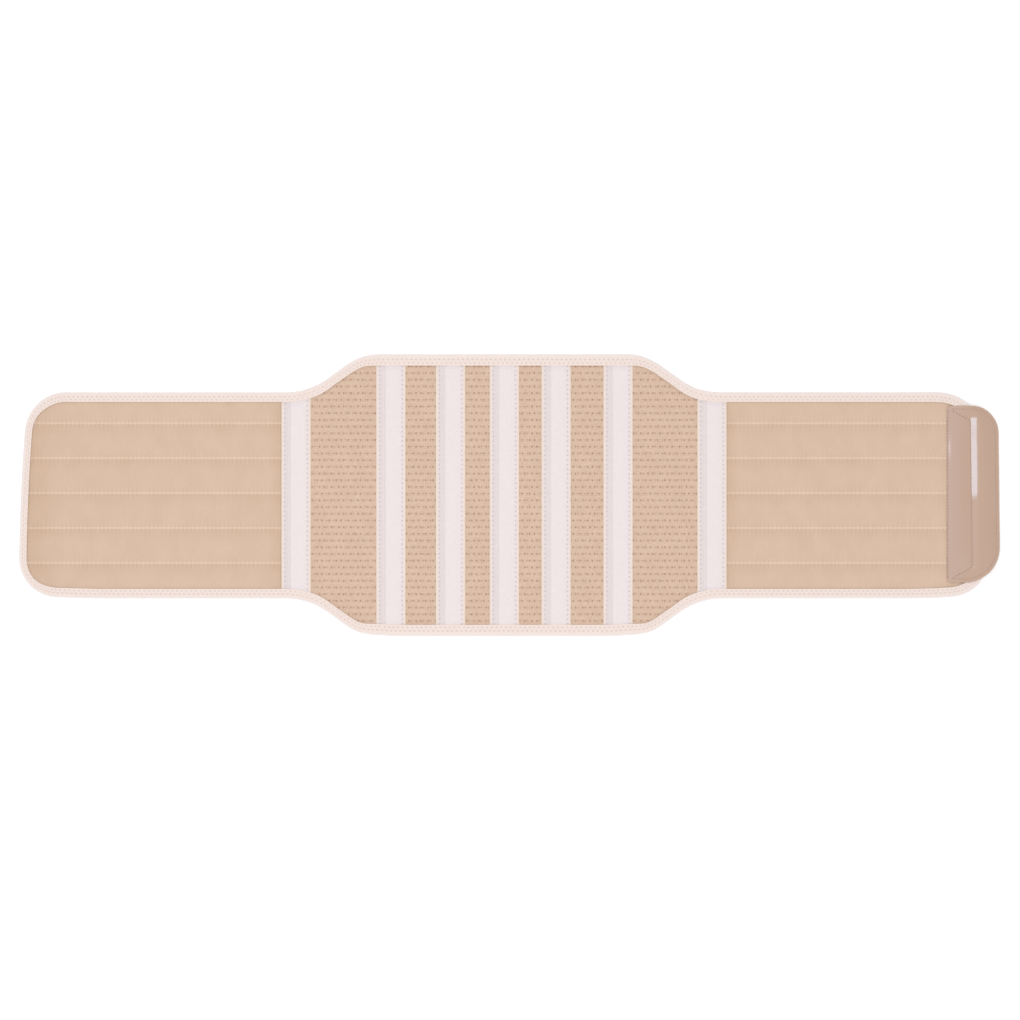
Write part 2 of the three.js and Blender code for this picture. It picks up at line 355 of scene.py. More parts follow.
bend_radii = SHOULDER_RADIUS + HOLLOW_RADIUS
straight_drop = (BACK_HEIGHT - WING_HEIGHT) / 2 - bend_radii * (1 - math.cos(TAPER_ANGLE))
TAPER_END = BACK_HALF_LENGTH + bend_radii * math.sin(TAPER_ANGLE) + straight_drop / math.tan(TAPER_ANGLE)
CORNER_X = HALF_LENGTH - CORNER_RADIUS


def arc(middle, radius, start, end, steps=60):
    """Points along a circle, from one angle to another."""
    angles = np.linspace(start, end, steps)
    return np.column_stack([middle[0] + radius * np.cos(angles), middle[1] + radius * np.sin(angles)])


def evenly(line, count):
    """Even steps along a closed line."""
    closed = np.vstack([line, line[:1]])
    along = np.concatenate([[0], np.cumsum(np.linalg.norm(np.diff(closed, axis=0), axis=1))])
    steps = np.linspace(0, along[-1], count, endpoint=False)
    return np.column_stack([np.interp(steps, along, closed[:, axis]) for axis in (0, 1)]), along[-1]


def inward_of(line):
    """The direction to the inside at each point of a closed line that runs anticlockwise."""
    along = np.roll(line, -1, axis=0) - np.roll(line, 1, axis=0)
    along /= np.linalg.norm(along, axis=1)[:, None]
    return np.column_stack([-along[:, 1], along[:, 0]])


back_edge = -BACK_HEIGHT / 2
wing_edge = -WING_HEIGHT / 2
shoulder_middle = (BACK_HALF_LENGTH, back_edge + SHOULDER_RADIUS)
quarter = np.vstack([
    [(0, back_edge)],
    arc(shoulder_middle, SHOULDER_RADIUS, -QUARTER_TURN, TAPER_ANGLE - QUARTER_TURN),
    arc((TAPER_END, wing_edge - HOLLOW_RADIUS), HOLLOW_RADIUS, QUARTER_TURN + TAPER_ANGLE, QUARTER_TURN),
    arc((CORNER_X, wing_edge + CORNER_RADIUS), CORNER_RADIUS, -QUARTER_TURN, 0),
])
right_half = np.vstack([quarter, (quarter * [1, -1])[::-1]])
outline = np.vstack([right_half, (right_half * [-1, 1])[::-1][1:-1]])
outline, drawn_length = evenly(outline, OUTLINE_STEPS)
print(f"drawn edge {drawn_length:.0f} mm")

# %% Small bends of the sewn edge
LOWER_DROP = 0.7  # how far the lower edge sags between its rounded ends
LOWER_RUN = (355, 395)  # from the middle, where that stops
LOWER_BAND = (20, 80)  # heights over which a bend takes hold, here and below
UPPER_RISE = 0.4  # how far the panel's upper edge bulges
UPPER_BAND = (117, 124)
PANEL_CORNER_RISE = 0.8  # how far the panel's two lower corners are drawn in
PANEL_CORNER_RUN = (98, 112, 118, 134)
PANEL_CORNER_BAND = (100, 118)
RIGHT_SHOULDER_DROP = 0.7  # how far the upper right shoulder is drawn in
RIGHT_SHOULDER_RUN = (116, 130, 172, 190)
RIGHT_SHOULDER_BAND = (60, 90)
LEFT_BULGE = 0.9  # how far the left end bows outwards
LEFT_BULGE_REACH = 58.0
LEFT_SHIFT = 0.5  # how far the left end lies up from the middle line
RIGHT_SHARE = 0.988  # of its height that is left of the right end
END_RUN = (380, 410)  # from the middle, where the ends begin
STITCH_PITCH = 4.18  # one zigzag of the binding's stitches
STEPS_PER_STITCH = 4

edge_x, edge_y = outline.T
lean = END_LEAN * np.clip((np.abs(edge_x) - TAPER_END) / (CORNER_X - TAPER_END), 0, 1)
edge_x -= np.sign(edge_x) * lean * edge_y
from_middle = np.abs(edge_x)
edge_y += UPPER_RISE * smoothstep(edge_y, *UPPER_BAND)
edge_y -= LOWER_DROP * smoothstep(-edge_y, *LOWER_BAND) * (1 - smoothstep(from_middle, *LOWER_RUN))
at_corner = plateau(from_middle, *PANEL_CORNER_RUN)
edge_y += PANEL_CORNER_RISE * at_corner * smoothstep(-edge_y, *PANEL_CORNER_BAND)
at_shoulder = plateau(edge_x, *RIGHT_SHOULDER_RUN)
edge_y -= RIGHT_SHOULDER_DROP * at_shoulder * smoothstep(edge_y, *RIGHT_SHOULDER_BAND)
bow = np.clip(1 - (edge_y / LEFT_BULGE_REACH) ** 2, 0, 1)
edge_x -= LEFT_BULGE * bow * (edge_x < -TAPER_END)
edge_y += LEFT_SHIFT * smoothstep(-edge_x, *END_RUN)
edge_y *= 1 - (1 - RIGHT_SHARE) * smoothstep(edge_x, *END_RUN)

_, edge_length = evenly(outline, OUTLINE_STEPS)
stitch_count = round(edge_length / STITCH_PITCH)
EDGE, _ = evenly(outline, stitch_count * STEPS_PER_STITCH)
EDGE_INWARD = inward_of(EDGE)
print(f"edge {edge_length:.0f} mm, {stitch_count} zigzags")


# %% Depth inside a line
def tree_of(flat):
    """A tree that finds the nearest of many flat points."""
    tree = KDTree(len(flat))
    for number, (x, y) in enumerate(flat):
        tree.insert((x, y, 0), number)
    tree.balance()
    return tree


def depth_inside(line):
    """A function that gives points' depth inside a closed line, and the direction inwards there."""
    inward = inward_of(line)
    tree = tree_of(line)

    def measure(flat):
        nearest = [tree.find((x, y, 0))[1] for x, y in flat]
        return ((flat - line[nearest]) * inward[nearest]).sum(axis=1), inward[nearest]

    return measure


belt_depth = depth_inside(EDGE)
middle_depth, _ = belt_depth(np.array([[0.0, 0.0], [400.0, 0.0]]))
print("depth at the spine and near the right end", middle_depth.round(1))


def trim(piece, depth_of, inset):
    """Cuts a flat sheet along a line at some depth: faces past it go, and the rim is drawn onto it."""
    depth, _ = depth_of(points_of(piece)[:, :2])
    edit_faces(piece, (depth < inset)[corners_of(piece)].all(axis=1))
    bpy.ops.mesh.delete(type="FACE")
    bpy.ops.object.mode_set(mode="OBJECT")
    points = points_of(piece)
    depth, inward = depth_of(points[:, :2])
    points[:, :2] += inward * np.maximum(inset - depth, 0)[:, None]
    move_points(piece, points)


# %% [markdown]
# ## Layers
# Every piece has its own height above the table, as in the CAD model. The right end of the belt lies on the
# hook patch under the tab, so everything there is lifted by the patch's thickness.

# %% Heights
BINDING_HEIGHT = 4.2
BINDING_WIDTH = {"back": 10.2, "wing": 8.7, "left_end": 6.8}
TAPER_NARROWING = 1.3  # how much the binding is drawn narrower by the bends of the taper
TAPER_RUN = (113, 130, 152, 172)
LEFT_TURN = (0.3, 0.97)  # shares of the left corners' radius, between which the binding narrows
SEAT_TOP = 3.2  # the cloth where a tape is sewn on it
PRESSED_TOP = 2.95  # the cloth's edge, pressed flat inside the binding
PRESSED_UNDER = 1.3
PRESSED_RUN = (-0.2, 3.5)  # from the binding's inner edge, where the cloth comes free
PAD_INSET = 3.0  # from the belt's edge to the cloth's own edge, inside the binding
TAB_LEFT = 394.5
LIFT = 1.3  # onto the hook patch
LIFT_RUN = 50.0


def lift(x):
    """How far the cloth is lifted onto the hook patch."""
    return LIFT * smoothstep(x, TAB_LEFT - LIFT_RUN, TAB_LEFT)


def binding_width(x):
    """How far the binding reaches in: it narrows from the back to the wings and the left end."""
    from_middle = np.abs(x)
    on_wing = smoothstep(from_middle, BACK_HALF_LENGTH, TAPER_END)
    on_taper = plateau(from_middle, *TAPER_RUN)
    at_end = smoothstep(-x, *[CORNER_X + share * CORNER_RADIUS for share in LEFT_TURN])
    back_width, wing_width, end_width = BINDING_WIDTH.values()
    width = back_width + (wing_width - back_width) * on_wing + (end_width - wing_width) * at_end
    return width - TAPER_NARROWING * on_taper


def past_binding(x, depth):
    """How far points lie inside the binding's inner edge."""
    return depth - binding_width(x)


def under_binding(x, depth):
    """1 where the binding presses the cloth flat, and 0 where the cloth is free."""
    return 1 - smoothstep(past_binding(x, depth), *PRESSED_RUN)


print("lift at the right end", lift(np.array([340.0, 370.0, 400.0])).round(2))

# %% [markdown]
# ## Letting cloth swell
# A padded panel swells between the lines where it is sewn down. Cloth simulation finds that shape by
# itself: a loose sheet is pinned along the seams and a little pressure from below lifts the rest. Only its
# relief is kept, scaled to the height seen on the belt, and the finely modelled pieces read it by place.

# %% Reading a relief
def spline_weights(share):
    """How much each of four neighbours counts at a share of the way between the middle two."""
    far = 1 - share
    return np.stack([far**3, 3 * share**3 - 6 * share**2 + 4, 3 * far**3 - 6 * far**2 + 4, share**3]) / 6


def sampled(relief, column, row):
    """Reads a relief between its points, with soft curves from one point to the next."""
    total = 0.0
    first_column = np.floor(column).astype(int)
    first_row = np.floor(row).astype(int)
    across = spline_weights(column - first_column)
    along = spline_weights(row - first_row)
    for i in range(4):
        for j in range(4):
            near_column = np.clip(first_column + i - 1, 0, relief.shape[0] - 1)
            near_row = np.clip(first_row + j - 1, 0, relief.shape[1] - 1)
            total = total + across[i] * along[j] * relief[near_column, near_row]
    return total


print("weights halfway", spline_weights(np.array(0.5)).round(3))

# %% Simulated relief
CLOTH_FRAMES = 24
CLOTH_CELL = 4.0
CLOTH_PRESSURE = 4.0
CLOTH_LOOSENESS = 0.004
CLOTH_MASS = 0.02
CLOTH_QUALITY = 6
CLOTH_START = 0.2  # a slight unevenness, which lets the pressure take hold
RELIEF_PERCENT = 98  # of the points lie below what counts as the full relief
RELIEF_LIMITS = (-0.3, 1.25)
RELIEF_LEAST = 1e-6


def swollen(name, width, height, pinned, seed):
    """The relief of a sheet that is pinned where pinned(x, y) says, as a function of x and y."""
    xs = np.linspace(-width / 2, width / 2, round(width / CLOTH_CELL) + 1)
    ys = np.linspace(-height / 2, height / 2, round(height / CLOTH_CELL) + 1)
    sheet = sheet_over(name, xs, ys)
    flat = points_of(sheet)
    held = pinned(flat[:, 0], flat[:, 1])
    start = flat.copy()
    start[:, 2] = np.where(held, 0, np.random.default_rng(seed).uniform(0, CLOTH_START, len(flat)))
    move_points(sheet, start)
    sheet.vertex_groups.new(name="sewn").add(np.flatnonzero(held).tolist(), 1.0, "REPLACE")
    cloth = sheet.modifiers.new("swell", "CLOTH")
    cloth.settings.vertex_group_mass = "sewn"
    cloth.settings.use_pressure = True
    cloth.settings.uniform_pressure_force = CLOTH_PRESSURE
    cloth.settings.shrink_min = -CLOTH_LOOSENESS
    cloth.settings.mass = CLOTH_MASS
    cloth.settings.quality = CLOTH_QUALITY
    cloth.settings.effector_weights.gravity = 0
    cloth.collision_settings.use_collision = False
    cloth.point_cache.frame_end = CLOTH_FRAMES
    for number in range(1, CLOTH_FRAMES + 1):
        bpy.context.scene.frame_set(number)
    alone(sheet)
    bpy.ops.object.modifier_apply(modifier="swell")
    rise = points_of(sheet)[:, 2]
    bpy.context.scene.frame_set(1)
    bpy.data.objects.remove(sheet)
    top = max(np.percentile(rise, RELIEF_PERCENT), RELIEF_LEAST)
    print(f"{name}: swelled {rise.max():.2f} mm, mostly up to {top:.2f} mm")

    def cells(x, y):
        return (x - xs[0]) / (xs[1] - xs[0]), (y - ys[0]) / (ys[1] - ys[0])

    column, row = np.rint(cells(flat[:, 0], flat[:, 1])).astype(int)
    relief = np.zeros((len(xs), len(ys)))
    relief[column, row] = np.clip(rise / top, *RELIEF_LIMITS)
    return lambda x, y: sampled(relief, *cells(x, y))


print("cloth cell", CLOTH_CELL, "mm")

# %% [markdown]
# ## The back panel's finish
# The panel is a warp knit: fine courses run across it, and rows of small holes in pairs let it breathe. The
# courses and holes are modelled. The material adds the single loops, which are too small to model, and the
# slight unevenness of dyed yarn. The holes show the filling below, painted darker as the shade inside them.

# %% Knit material
COURSE = 0.994  # height of one row of loops
WALE = 1.075  # width of one column of loops
ROW_COURSES = 6  # from one row of holes to the next
HOLE_ROW_Y = 1.25  # the height of one such row on the belt

knit, shader, place = finish("knit", roughness=0.9)
shader.inputs["Sheen Weight"].default_value = 0.1
x, y, _ = place.parts(1 / MM)
loops = x.wave(WALE) * y.wave(COURSE)
uneven = 0.4 * place.noise(90.0, 3) + 0.9 * place.noise((450.0, 900.0, 450.0))
row_share = ((y - HOLE_ROW_Y) * (1 / (ROW_COURSES * COURSE))).maths("FRACT")  # 0 at a row of holes
ridge = row_share.near(0.5, 0.3) - 1.1 * row_share.near(0.5, 0.1)
shade = 0.52 + 0.16 * loops + 0.06 * y.wave(2 * COURSE) + 0.85 * uneven + 0.24 * ridge
knit_height = loops + 0.6 * uneven + 0.5 * ridge
paint(shader, shade.mix(tint(202, 172, 149), tint(234, 207, 186)), knit_height, relief=0.12)

# Painted shade: the filling seen in the holes is painted darker, for the shade inside them.
shaded_filling, shader, place = finish("shaded_filling", roughness=1.0)
fibres = 0.8 * place.noise(1500.0) + 1.2 * place.noise(260.0) + 0.5
paint(shader, fibres.mix(tint(177, 150, 126), tint(207, 180, 156)), fibres, relief=0.2)

lining, shader, place = finish("lining", roughness=0.95)
shader.inputs["Sheen Weight"].default_value = 0.2
x, y, _ = place.parts(1 / MM)
nap = place.noise(600.0, 3) + 0.3 * x.wave(1.6) * y.wave(1.6)
paint(shader, (0.5 + nap).mix(tint(200, 172, 150), tint(226, 202, 182)), nap, relief=0.2)
print("materials", knit.name, shaded_filling.name, lining.name)

# %% [markdown]
# ## The back panel
# A grid is laid with one column for each column of loops where the knit shows, and a single wide column
# under each tape, where nothing shows. It is trimmed to the edge, raised to the simulated relief, and the
# chosen faces are inset twice to make holes. Then its rim is extruded down and closed by the lining.

# %% Knit sheet
TAPE_WIDTH = 26.2
STAY_TAPE_X = [-100.4, -47.35, 0.6, 46.7, 101.8]
JOIN_TAPE_X = [-184.85, 185.45]
JOIN_X = 185.0  # where the panel meets a wing, under the join tape
JOIN_GAP = 0.15
KNIT_MARGIN = 2.2  # knit that runs on under a tape

tape_middles = [*STAY_TAPE_X, *JOIN_TAPE_X]


def tape_distance(x):
    """How far points lie from the middle of the nearest tape."""
    return np.abs(np.subtract.outer(x, tape_middles)).min(axis=1)


wales = np.arange(-round(JOIN_X / WALE), round(JOIN_X / WALE) + 1) * WALE
shown_wales = wales[tape_distance(wales) > TAPE_WIDTH / 2 - KNIT_MARGIN]
panel_edge = JOIN_X - JOIN_GAP
xs = np.concatenate([[-panel_edge], shown_wales, [panel_edge]])
courses = round(BACK_HEIGHT / 2 / COURSE)
ys = HOLE_ROW_Y + (np.arange(-courses, courses + 1) - 0.5) * COURSE
back_panel = sheet_over("back_panel_knit", xs, ys)
trim(back_panel, belt_depth, PAD_INSET)
report_piece(back_panel)

# %% Relief of the panel
PANEL_CLOTH_WIDTH = 372.0
PANEL_PUFF = 1.0
COURSE_RELIEF = 0.05
SEWN_REACH = 1.0  # cloth this close to the binding is held by it


def panel_pinned(x, y):
    """True where the panel is sewn down, under the tapes and the binding."""
    depth, _ = belt_depth(np.column_stack([x, y]))
    return (tape_distance(x) < TAPE_WIDTH / 2) | (past_binding(x, depth) < SEWN_REACH)


panel_relief = swollen("panel_cloth", PANEL_CLOTH_WIDTH, BACK_HEIGHT, panel_pinned, seed=1)
points = points_of(back_panel)
depth, _ = belt_depth(points[:, :2])
row = np.rint((points[:, 1] - ys[0]) / COURSE)
free = 1 - under_binding(points[:, 0], depth)
swell = PANEL_PUFF * panel_relief(points[:, 0], points[:, 1]) + COURSE_RELIEF * (-1) ** row
points[:, 2] = PRESSED_TOP + free * (SEAT_TOP - PRESSED_TOP + swell)
move_points(back_panel, points)
print("panel stands", points[:, 2].max().round(2), "mm high")

# %% Choosing the holes
MOTIF_WALES = 16  # the pattern repeats after this many columns
FIRST_WALE = 9
LARGE_HOLES = {0: (0, 6, 12), 1: (2, 8, 14)}  # their columns, in even and odd rows
SMALL_HOLES = (4, 10)
HOLE_CLEARANCE = 0.5  # from a hole's middle to the binding
HOLE_COVER = 1.0  # how far under a tape there still are holes

middles = points_of(back_panel)[corners_of(back_panel)].mean(axis=1)
depth, _ = belt_depth(middles[:, :2])
wale = (np.floor(middles[:, 0] / WALE).astype(int) - FIRST_WALE) % MOTIF_WALES
course = np.rint((middles[:, 1] - HOLE_ROW_Y) / COURSE).astype(int)
clear_of_binding = past_binding(middles[:, 0], depth) > HOLE_CLEARANCE
clear_of_tapes = tape_distance(middles[:, 0]) > TAPE_WIDTH / 2 - HOLE_COVER
in_row = clear_of_binding & clear_of_tapes & (course % ROW_COURSES == 0)
odd_row = (course // ROW_COURSES) % 2 == 1
large = in_row & np.where(odd_row, np.isin(wale, LARGE_HOLES[1]), np.isin(wale, LARGE_HOLES[0]))
small = in_row & np.isin(wale, SMALL_HOLES)
print("large holes", int(large.sum()), "small holes", int(small.sum()))

# %% Opening the holes
LARGE_STRETCH = np.array([1.4, 1.9, 1.0])  # how far a hole's corners are pulled apart
SMALL_STRETCH = np.array([0.85, 1.3, 1.0])
HOLE_RIM = 0.1
HOLE_SLOPE = 0.2
HOLE_DEPTH = 0.7

points = points_of(back_panel)
for chosen, stretch in ((large, LARGE_STRETCH), (small, SMALL_STRETCH)):
    corners = corners_of(back_panel)[chosen]
    middle = points[corners].mean(axis=1, keepdims=True)
    points[corners] = middle + (points[corners] - middle) * stretch
move_points(back_panel, points)
holes = large | small
edit_faces(back_panel, holes)
bpy.ops.mesh.inset(thickness=HOLE_RIM * MM, depth=0, use_individual=True)
bpy.ops.mesh.inset(thickness=HOLE_SLOPE * MM, depth=-HOLE_DEPTH * MM, use_individual=True)
bpy.ops.object.mode_set(mode="OBJECT")
report_piece(back_panel)

# %% Rim and lining of the panel
LINING_CLEARANCE = 0.4  # between the lining and the binding's lower lip
LINING_HEIGHT = 0.05
RIM_SLACK = 0.5


def extrude_rim(piece, place_points):
    """Extrudes the selected rim, and lets a function place its new points."""
    bpy.ops.mesh.extrude_edges_move()
    bpy.ops.object.mode_set(mode="OBJECT")
    chosen = np.zeros(len(piece.data.vertices), dtype=bool)
    piece.data.vertices.foreach_get("select", chosen)
    points = points_of(piece)
    points[chosen] = place_points(points[chosen])
    move_points(piece, points)
    bpy.ops.object.mode_set(mode="EDIT")


def down_to_slot(points):
    """Straight down, to where the binding's lower lip begins."""
    return np.column_stack([points[:, :2], np.full(len(points), PRESSED_UNDER)])


def in_to_lining(points):
    """Inwards past the binding's lower lip, and down to the table."""
    depth, inward = belt_depth(points[:, :2])
    at_edge = depth < PAD_INSET + RIM_SLACK
    inset = binding_width(points[:, 0]) + LINING_CLEARANCE - depth
    moved = points[:, :2] + inward * np.where(at_edge, inset, 0)[:, None]
    return np.column_stack([moved, np.full(len(points), LINING_HEIGHT)])


def select_rim(piece):
    """Selects the open rim of a sheet, in edit mode."""
    edit_all(piece)
    bpy.ops.mesh.region_to_loop()


select_rim(back_panel)
extrude_rim(back_panel, down_to_slot)
extrude_rim(back_panel, in_to_lining)
bpy.ops.mesh.edge_face_add()
tidy_normals(back_panel)
report_piece(back_panel)

# %% Dressing the panel
SMOOTH_ANGLE = math.radians(50)
DOWNWARD = -0.3  # a face whose normal points lower than this looks down


def dress(piece, nodes, materials):
    """Smooths a piece, gives it its materials and ties it to the frame."""
    for material in materials:
        piece.data.materials.append(material)
    alone(piece)
    bpy.ops.object.shade_smooth_by_angle(angle=SMOOTH_ANGLE)
    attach(piece, "root")
    if nodes:
        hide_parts(*nodes)


def line_underside(piece, number):
    """Gives the faces that look down the material of that number."""
    normals = np.empty(len(piece.data.polygons) * 3)
    piece.data.polygons.foreach_get("normal", normals)
    numbers = np.zeros(len(piece.data.polygons), dtype=np.int32)
    piece.data.polygons.foreach_get("material_index", numbers)
    numbers[normals.reshape(-1, 3)[:, 2] < DOWNWARD] = number
    piece.data.polygons.foreach_set("material_index", numbers)


dress(back_panel, ["back_panel"], [knit, shaded_filling, lining])
numbers = np.zeros(len(back_panel.data.polygons), dtype=np.int32)
numbers[: len(holes)][holes] = 1
back_panel.data.polygons.foreach_set("material_index", numbers)
line_underside(back_panel, 2)
print("panel dressed")

# %% [markdown]
# ## The wings' finish
# The wings are ribbed elastic. Fine cords run up and down and the colour changes softly from patch to patch.
# Each lengthwise seam's covered thread stands up from the cloth, and a painted highlight lies along it as a
# pale line. Each rib is painted darker just below its seam as painted shade, and the wing is painted darker
# beside the join tapes as the painted shadow of their edges.

# %% Elastic material
SEAM_PITCH = 31.1
MIDDLE_SEAM_Y = 1.65
CORD_PITCH = 1.25
TAPE_EDGE = JOIN_X + TAPE_WIDTH / 2
PUCKER_PITCH = 3.7  # of the small gathers along each seam

elastic, shader, place = finish("elastic", roughness=0.85)
shader.inputs["Sheen Weight"].default_value = 0.1
x, y, _ = place.parts(1 / MM)
seam_place = (y - MIDDLE_SEAM_Y) * (1 / SEAM_PITCH)
seam_offset = (seam_place - seam_place.maths("ROUND")) * SEAM_PITCH
# Painted highlight: a pale line along each raised seam.
seam_highlight = seam_offset.near(0, 1.5)
down_rib = (seam_place * -1).maths("FRACT")  # 0 just below a seam, 1 just above the next one
wander = 1.2 * place.noise((300.0, 40.0, 300.0))
cords = (x + wander).wave(CORD_PITCH)
picks = y.wave(0.8)
puckers = (x + wander).wave(PUCKER_PITCH) * seam_offset.near(0, 7.0)
patches = place.noise((70.0, 55.0, 70.0), 3) + 0.3 * place.noise((350.0, 250.0, 350.0))
from_middle = x.maths("ABSOLUTE")
end_shade = from_middle.step(385.0, 430.0)
past_tape = from_middle - TAPE_EDGE
# Painted shadow: the wing is painted darker beside the join tapes, most of all right at their edges.
painted_tape_shadow = 0.16 * past_tape.near(0, 14.0) + 0.25 * past_tape.near(0, 1.2)
shade = 0.29 + 0.04 * cords + 0.04 * picks + 0.3 * patches + 0.48 * seam_highlight + 0.1 * puckers
# Painted shade: each rib is painted darker just below its seam and lighter towards the next one.
shade = shade + 0.13 * down_rib.step(0.0, 0.45) - 0.22 * end_shade - painted_tape_shadow
weave_height = 0.5 * cords + 0.3 * picks + patches + 1.5 * puckers
paint(shader, shade.mix(tint(201, 172, 148), tint(230, 206, 186)), weave_height, relief=0.1)
print("material", elastic.name)

# %% [markdown]
# ## The wings
# Each wing is a sheet whose rows crowd together at the five seams, so that every seam gets a fine raised
# line in a shallow valley. The cloth between two seams swells in a simulation of its own. Extruding the
# whole sheet down gives the lining, which follows the lift of the right end.

# %% Wing sheets
SEAMS_EACH_SIDE = 2
WING_FREE_TOP = 2.95
RIB_RISE = 0.55
SEAM_CORD_RISE = 0.35
SEAM_CORD_BAND = (0.3, 1.3)
SEAM_PIN_SHARE = 0.55  # of a cloth cell on each side of a seam is held by it
TAB_PRESS = 0.15  # how far the sewn-on tab presses the wing down
BESIDE_TAPE = (-2, 5)  # from the tape's edge, where the wing comes free
BESIDE_TAB = (-4, 0.5)
LINING_RUN = 2.0
SEAM_ROWS = [-3.4, -2.2, -1.4, -0.8, 0.0, 0.8, 1.4, 2.2, 3.4]
WING_CELL = 2.6
WING_SPARE = 8.0  # columns past the belt's end, for the trim to draw in

seam_ys = MIDDLE_SEAM_Y + SEAM_PITCH * np.arange(-SEAMS_EACH_SIDE, SEAMS_EACH_SIDE + 1)
seam_rows = np.add.outer(seam_ys, SEAM_ROWS).ravel()
plain_rows = np.arange(-WING_HEIGHT / 2, WING_HEIGHT / 2 + WING_CELL / 2, WING_CELL)


def seam_distance(y):
    """How far points lie from the nearest seam."""
    return np.abs(np.subtract.outer(y, seam_ys)).min(axis=1)


clear_of_seams = seam_distance(plain_rows) > SEAM_ROWS[-1] + WING_CELL / 2
wing_rows = np.sort(np.concatenate([plain_rows[clear_of_seams], seam_rows]))
wing_columns = np.arange(JOIN_X + JOIN_GAP, HALF_LENGTH + WING_SPARE, WING_CELL)


def wing_pinned(x, y):
    """True where a wing is sewn down: at its seams, the join tape and the binding."""
    depth, _ = belt_depth(np.column_stack([x, y]))
    at_binding = past_binding(x, depth) < SEWN_REACH
    return at_binding | (seam_distance(y) < CLOTH_CELL * SEAM_PIN_SHARE) | (np.abs(x) < TAPE_EDGE)


wing_relief = swollen("wing_cloth", 2 * HALF_LENGTH, WING_HEIGHT, wing_pinned, seed=2)


def wing_top(flat):
    """The height of a wing's outer face."""
    x, y = flat.T
    depth, _ = belt_depth(flat)
    seam_cord = SEAM_CORD_RISE * (1 - smoothstep(seam_distance(y), *SEAM_CORD_BAND))
    beside_tape = smoothstep(np.abs(x) - TAPE_EDGE, *BESIDE_TAPE)
    swell = RIB_RISE * wing_relief(x, y) + seam_cord
    free = (1 - under_binding(x, depth)) * (WING_FREE_TOP - PRESSED_TOP + swell * beside_tape)
    under_tab = smoothstep(x - TAB_LEFT, *BESIDE_TAB)
    return PRESSED_TOP + free * (1 - under_tab) - TAB_PRESS * under_tab + lift(x)


def wing_under(flat):
    """The height of a wing's lining."""
    depth, _ = belt_depth(flat)
    past = past_binding(flat[:, 0], depth)
    return PRESSED_UNDER * (1 - smoothstep(past, 0, LINING_RUN)) + LINING_HEIGHT + lift(flat[:, 0])


# %% Two faces from one sheet
def thicken(piece, top_of, under_of):
    """Extrudes a flat sheet to an upper and a lower face, and gives each its height."""
    edit_all(piece)
    bpy.ops.mesh.extrude_region_move()
    bpy.ops.object.mode_set(mode="OBJECT")
    upper = np.zeros(len(piece.data.vertices), dtype=bool)
    piece.data.vertices.foreach_get("select", upper)
    points = points_of(piece)
    flat = points[:, :2].copy()
    points[:, 2] = np.where(upper, top_of(flat), under_of(flat))
    move_points(piece, points)
    tidy_normals(piece)


def wing(name, side):
    """One wing: the sheet, trimmed, swollen, and extruded down to its lining."""
    piece = sheet_over(name, np.sort(side * wing_columns), wing_rows)
    trim(piece, belt_depth, PAD_INSET)
    thicken(piece, wing_top, wing_under)
    dress(piece, [name.replace("_elastic", "")], [elastic, lining])
    line_underside(piece, 1)
    report_piece(piece)
    return piece


left_wing = wing("left_wing_elastic", -1)
right_wing = wing("right_wing_elastic", 1)

# %% [markdown]
# ## Lofting strips
# A tape and a binding are both long strips with the same section all along. A grid is wrapped round: its
# columns become the points of the section and its rows the places along the strip. The grid's own map is
# kept as lengths across and along in millimetres, so a weave can follow the strip round every bend.

# %% Loft helper
MERGE_DISTANCE = 0.005


def loft(name, sections, across, along, ring=False):
    """A strip through sections, an array by place, point and axis; a ring joins its last to its first."""
    if ring:
        sections = np.concatenate([sections, sections[:1]])
    sections = np.concatenate([sections, sections[:, :1]], axis=1)
    places, count = sections.shape[:2]
    piece = sheet_over(name, np.arange(count), np.arange(places))
    flat = np.rint(points_of(piece)).astype(int)
    column, row = flat[:, 0], flat[:, 1]
    move_points(piece, sections[row, column])
    corners = np.empty(len(piece.data.loops), dtype=int)
    piece.data.loops.foreach_get("vertex_index", corners)
    unrolled = np.column_stack([np.asarray(across)[column[corners]], np.asarray(along)[row[corners]]])
    piece.data.uv_layers[0].data.foreach_set("uv", unrolled.ravel())
    edit_all(piece)
    bpy.ops.mesh.remove_doubles(threshold=MERGE_DISTANCE * MM)
    if not ring:
        bpy.ops.mesh.fill_holes(sides=0)
    bpy.ops.object.mode_set(mode="OBJECT")
    tidy_normals(piece)
    return piece


print("loft ready")

# %% [markdown]
# ## Stitches
# A stitch is a short length of thread that dives into the cloth at both ends. One is modelled from a small
# sphere, drawn out along its length with blunt ends, and its copies are joined to one mesh for each row of
# sewing.

# %% Thread material and stitch helper
THREAD_SIDES = 6
THREAD_RINGS = 5
THREAD_BLUNTNESS = 0.6  # below 1, which keeps a stitch thick up to its ends


def thread_finish(name, dark, light):
    """Twisted thread: fine stripes of light and shade along it."""
    material, shader, place = finish(name, roughness=0.7)
    twist = place.noise(2500.0) + 0.5
    paint(shader, twist.mix(dark, light), twist, relief=0.05)
    return material


def one_stitch():
    """The points, from -1 to 1, and the faces of one stitch."""
    alone(None)
    bpy.ops.mesh.primitive_uv_sphere_add(segments=THREAD_SIDES, ring_count=THREAD_RINGS, radius=1)
    ball = bpy.context.object
    bpy.ops.object.mode_set(mode="EDIT")
    bpy.ops.mesh.select_all(action="SELECT")
    bpy.ops.transform.rotate(value=QUARTER_TURN, orient_axis="Y", center_override=(0, 0, 0))
    bpy.ops.object.mode_set(mode="OBJECT")
    points = points_of(ball) * MM
    points[:, 0] = np.sign(points[:, 0]) * np.abs(points[:, 0]) ** THREAD_BLUNTNESS
    faces = [tuple(face.vertices) for face in ball.data.polygons]
    bpy.data.objects.remove(ball)
    return points, faces


STITCH_POINTS, STITCH_FACES = one_stitch()


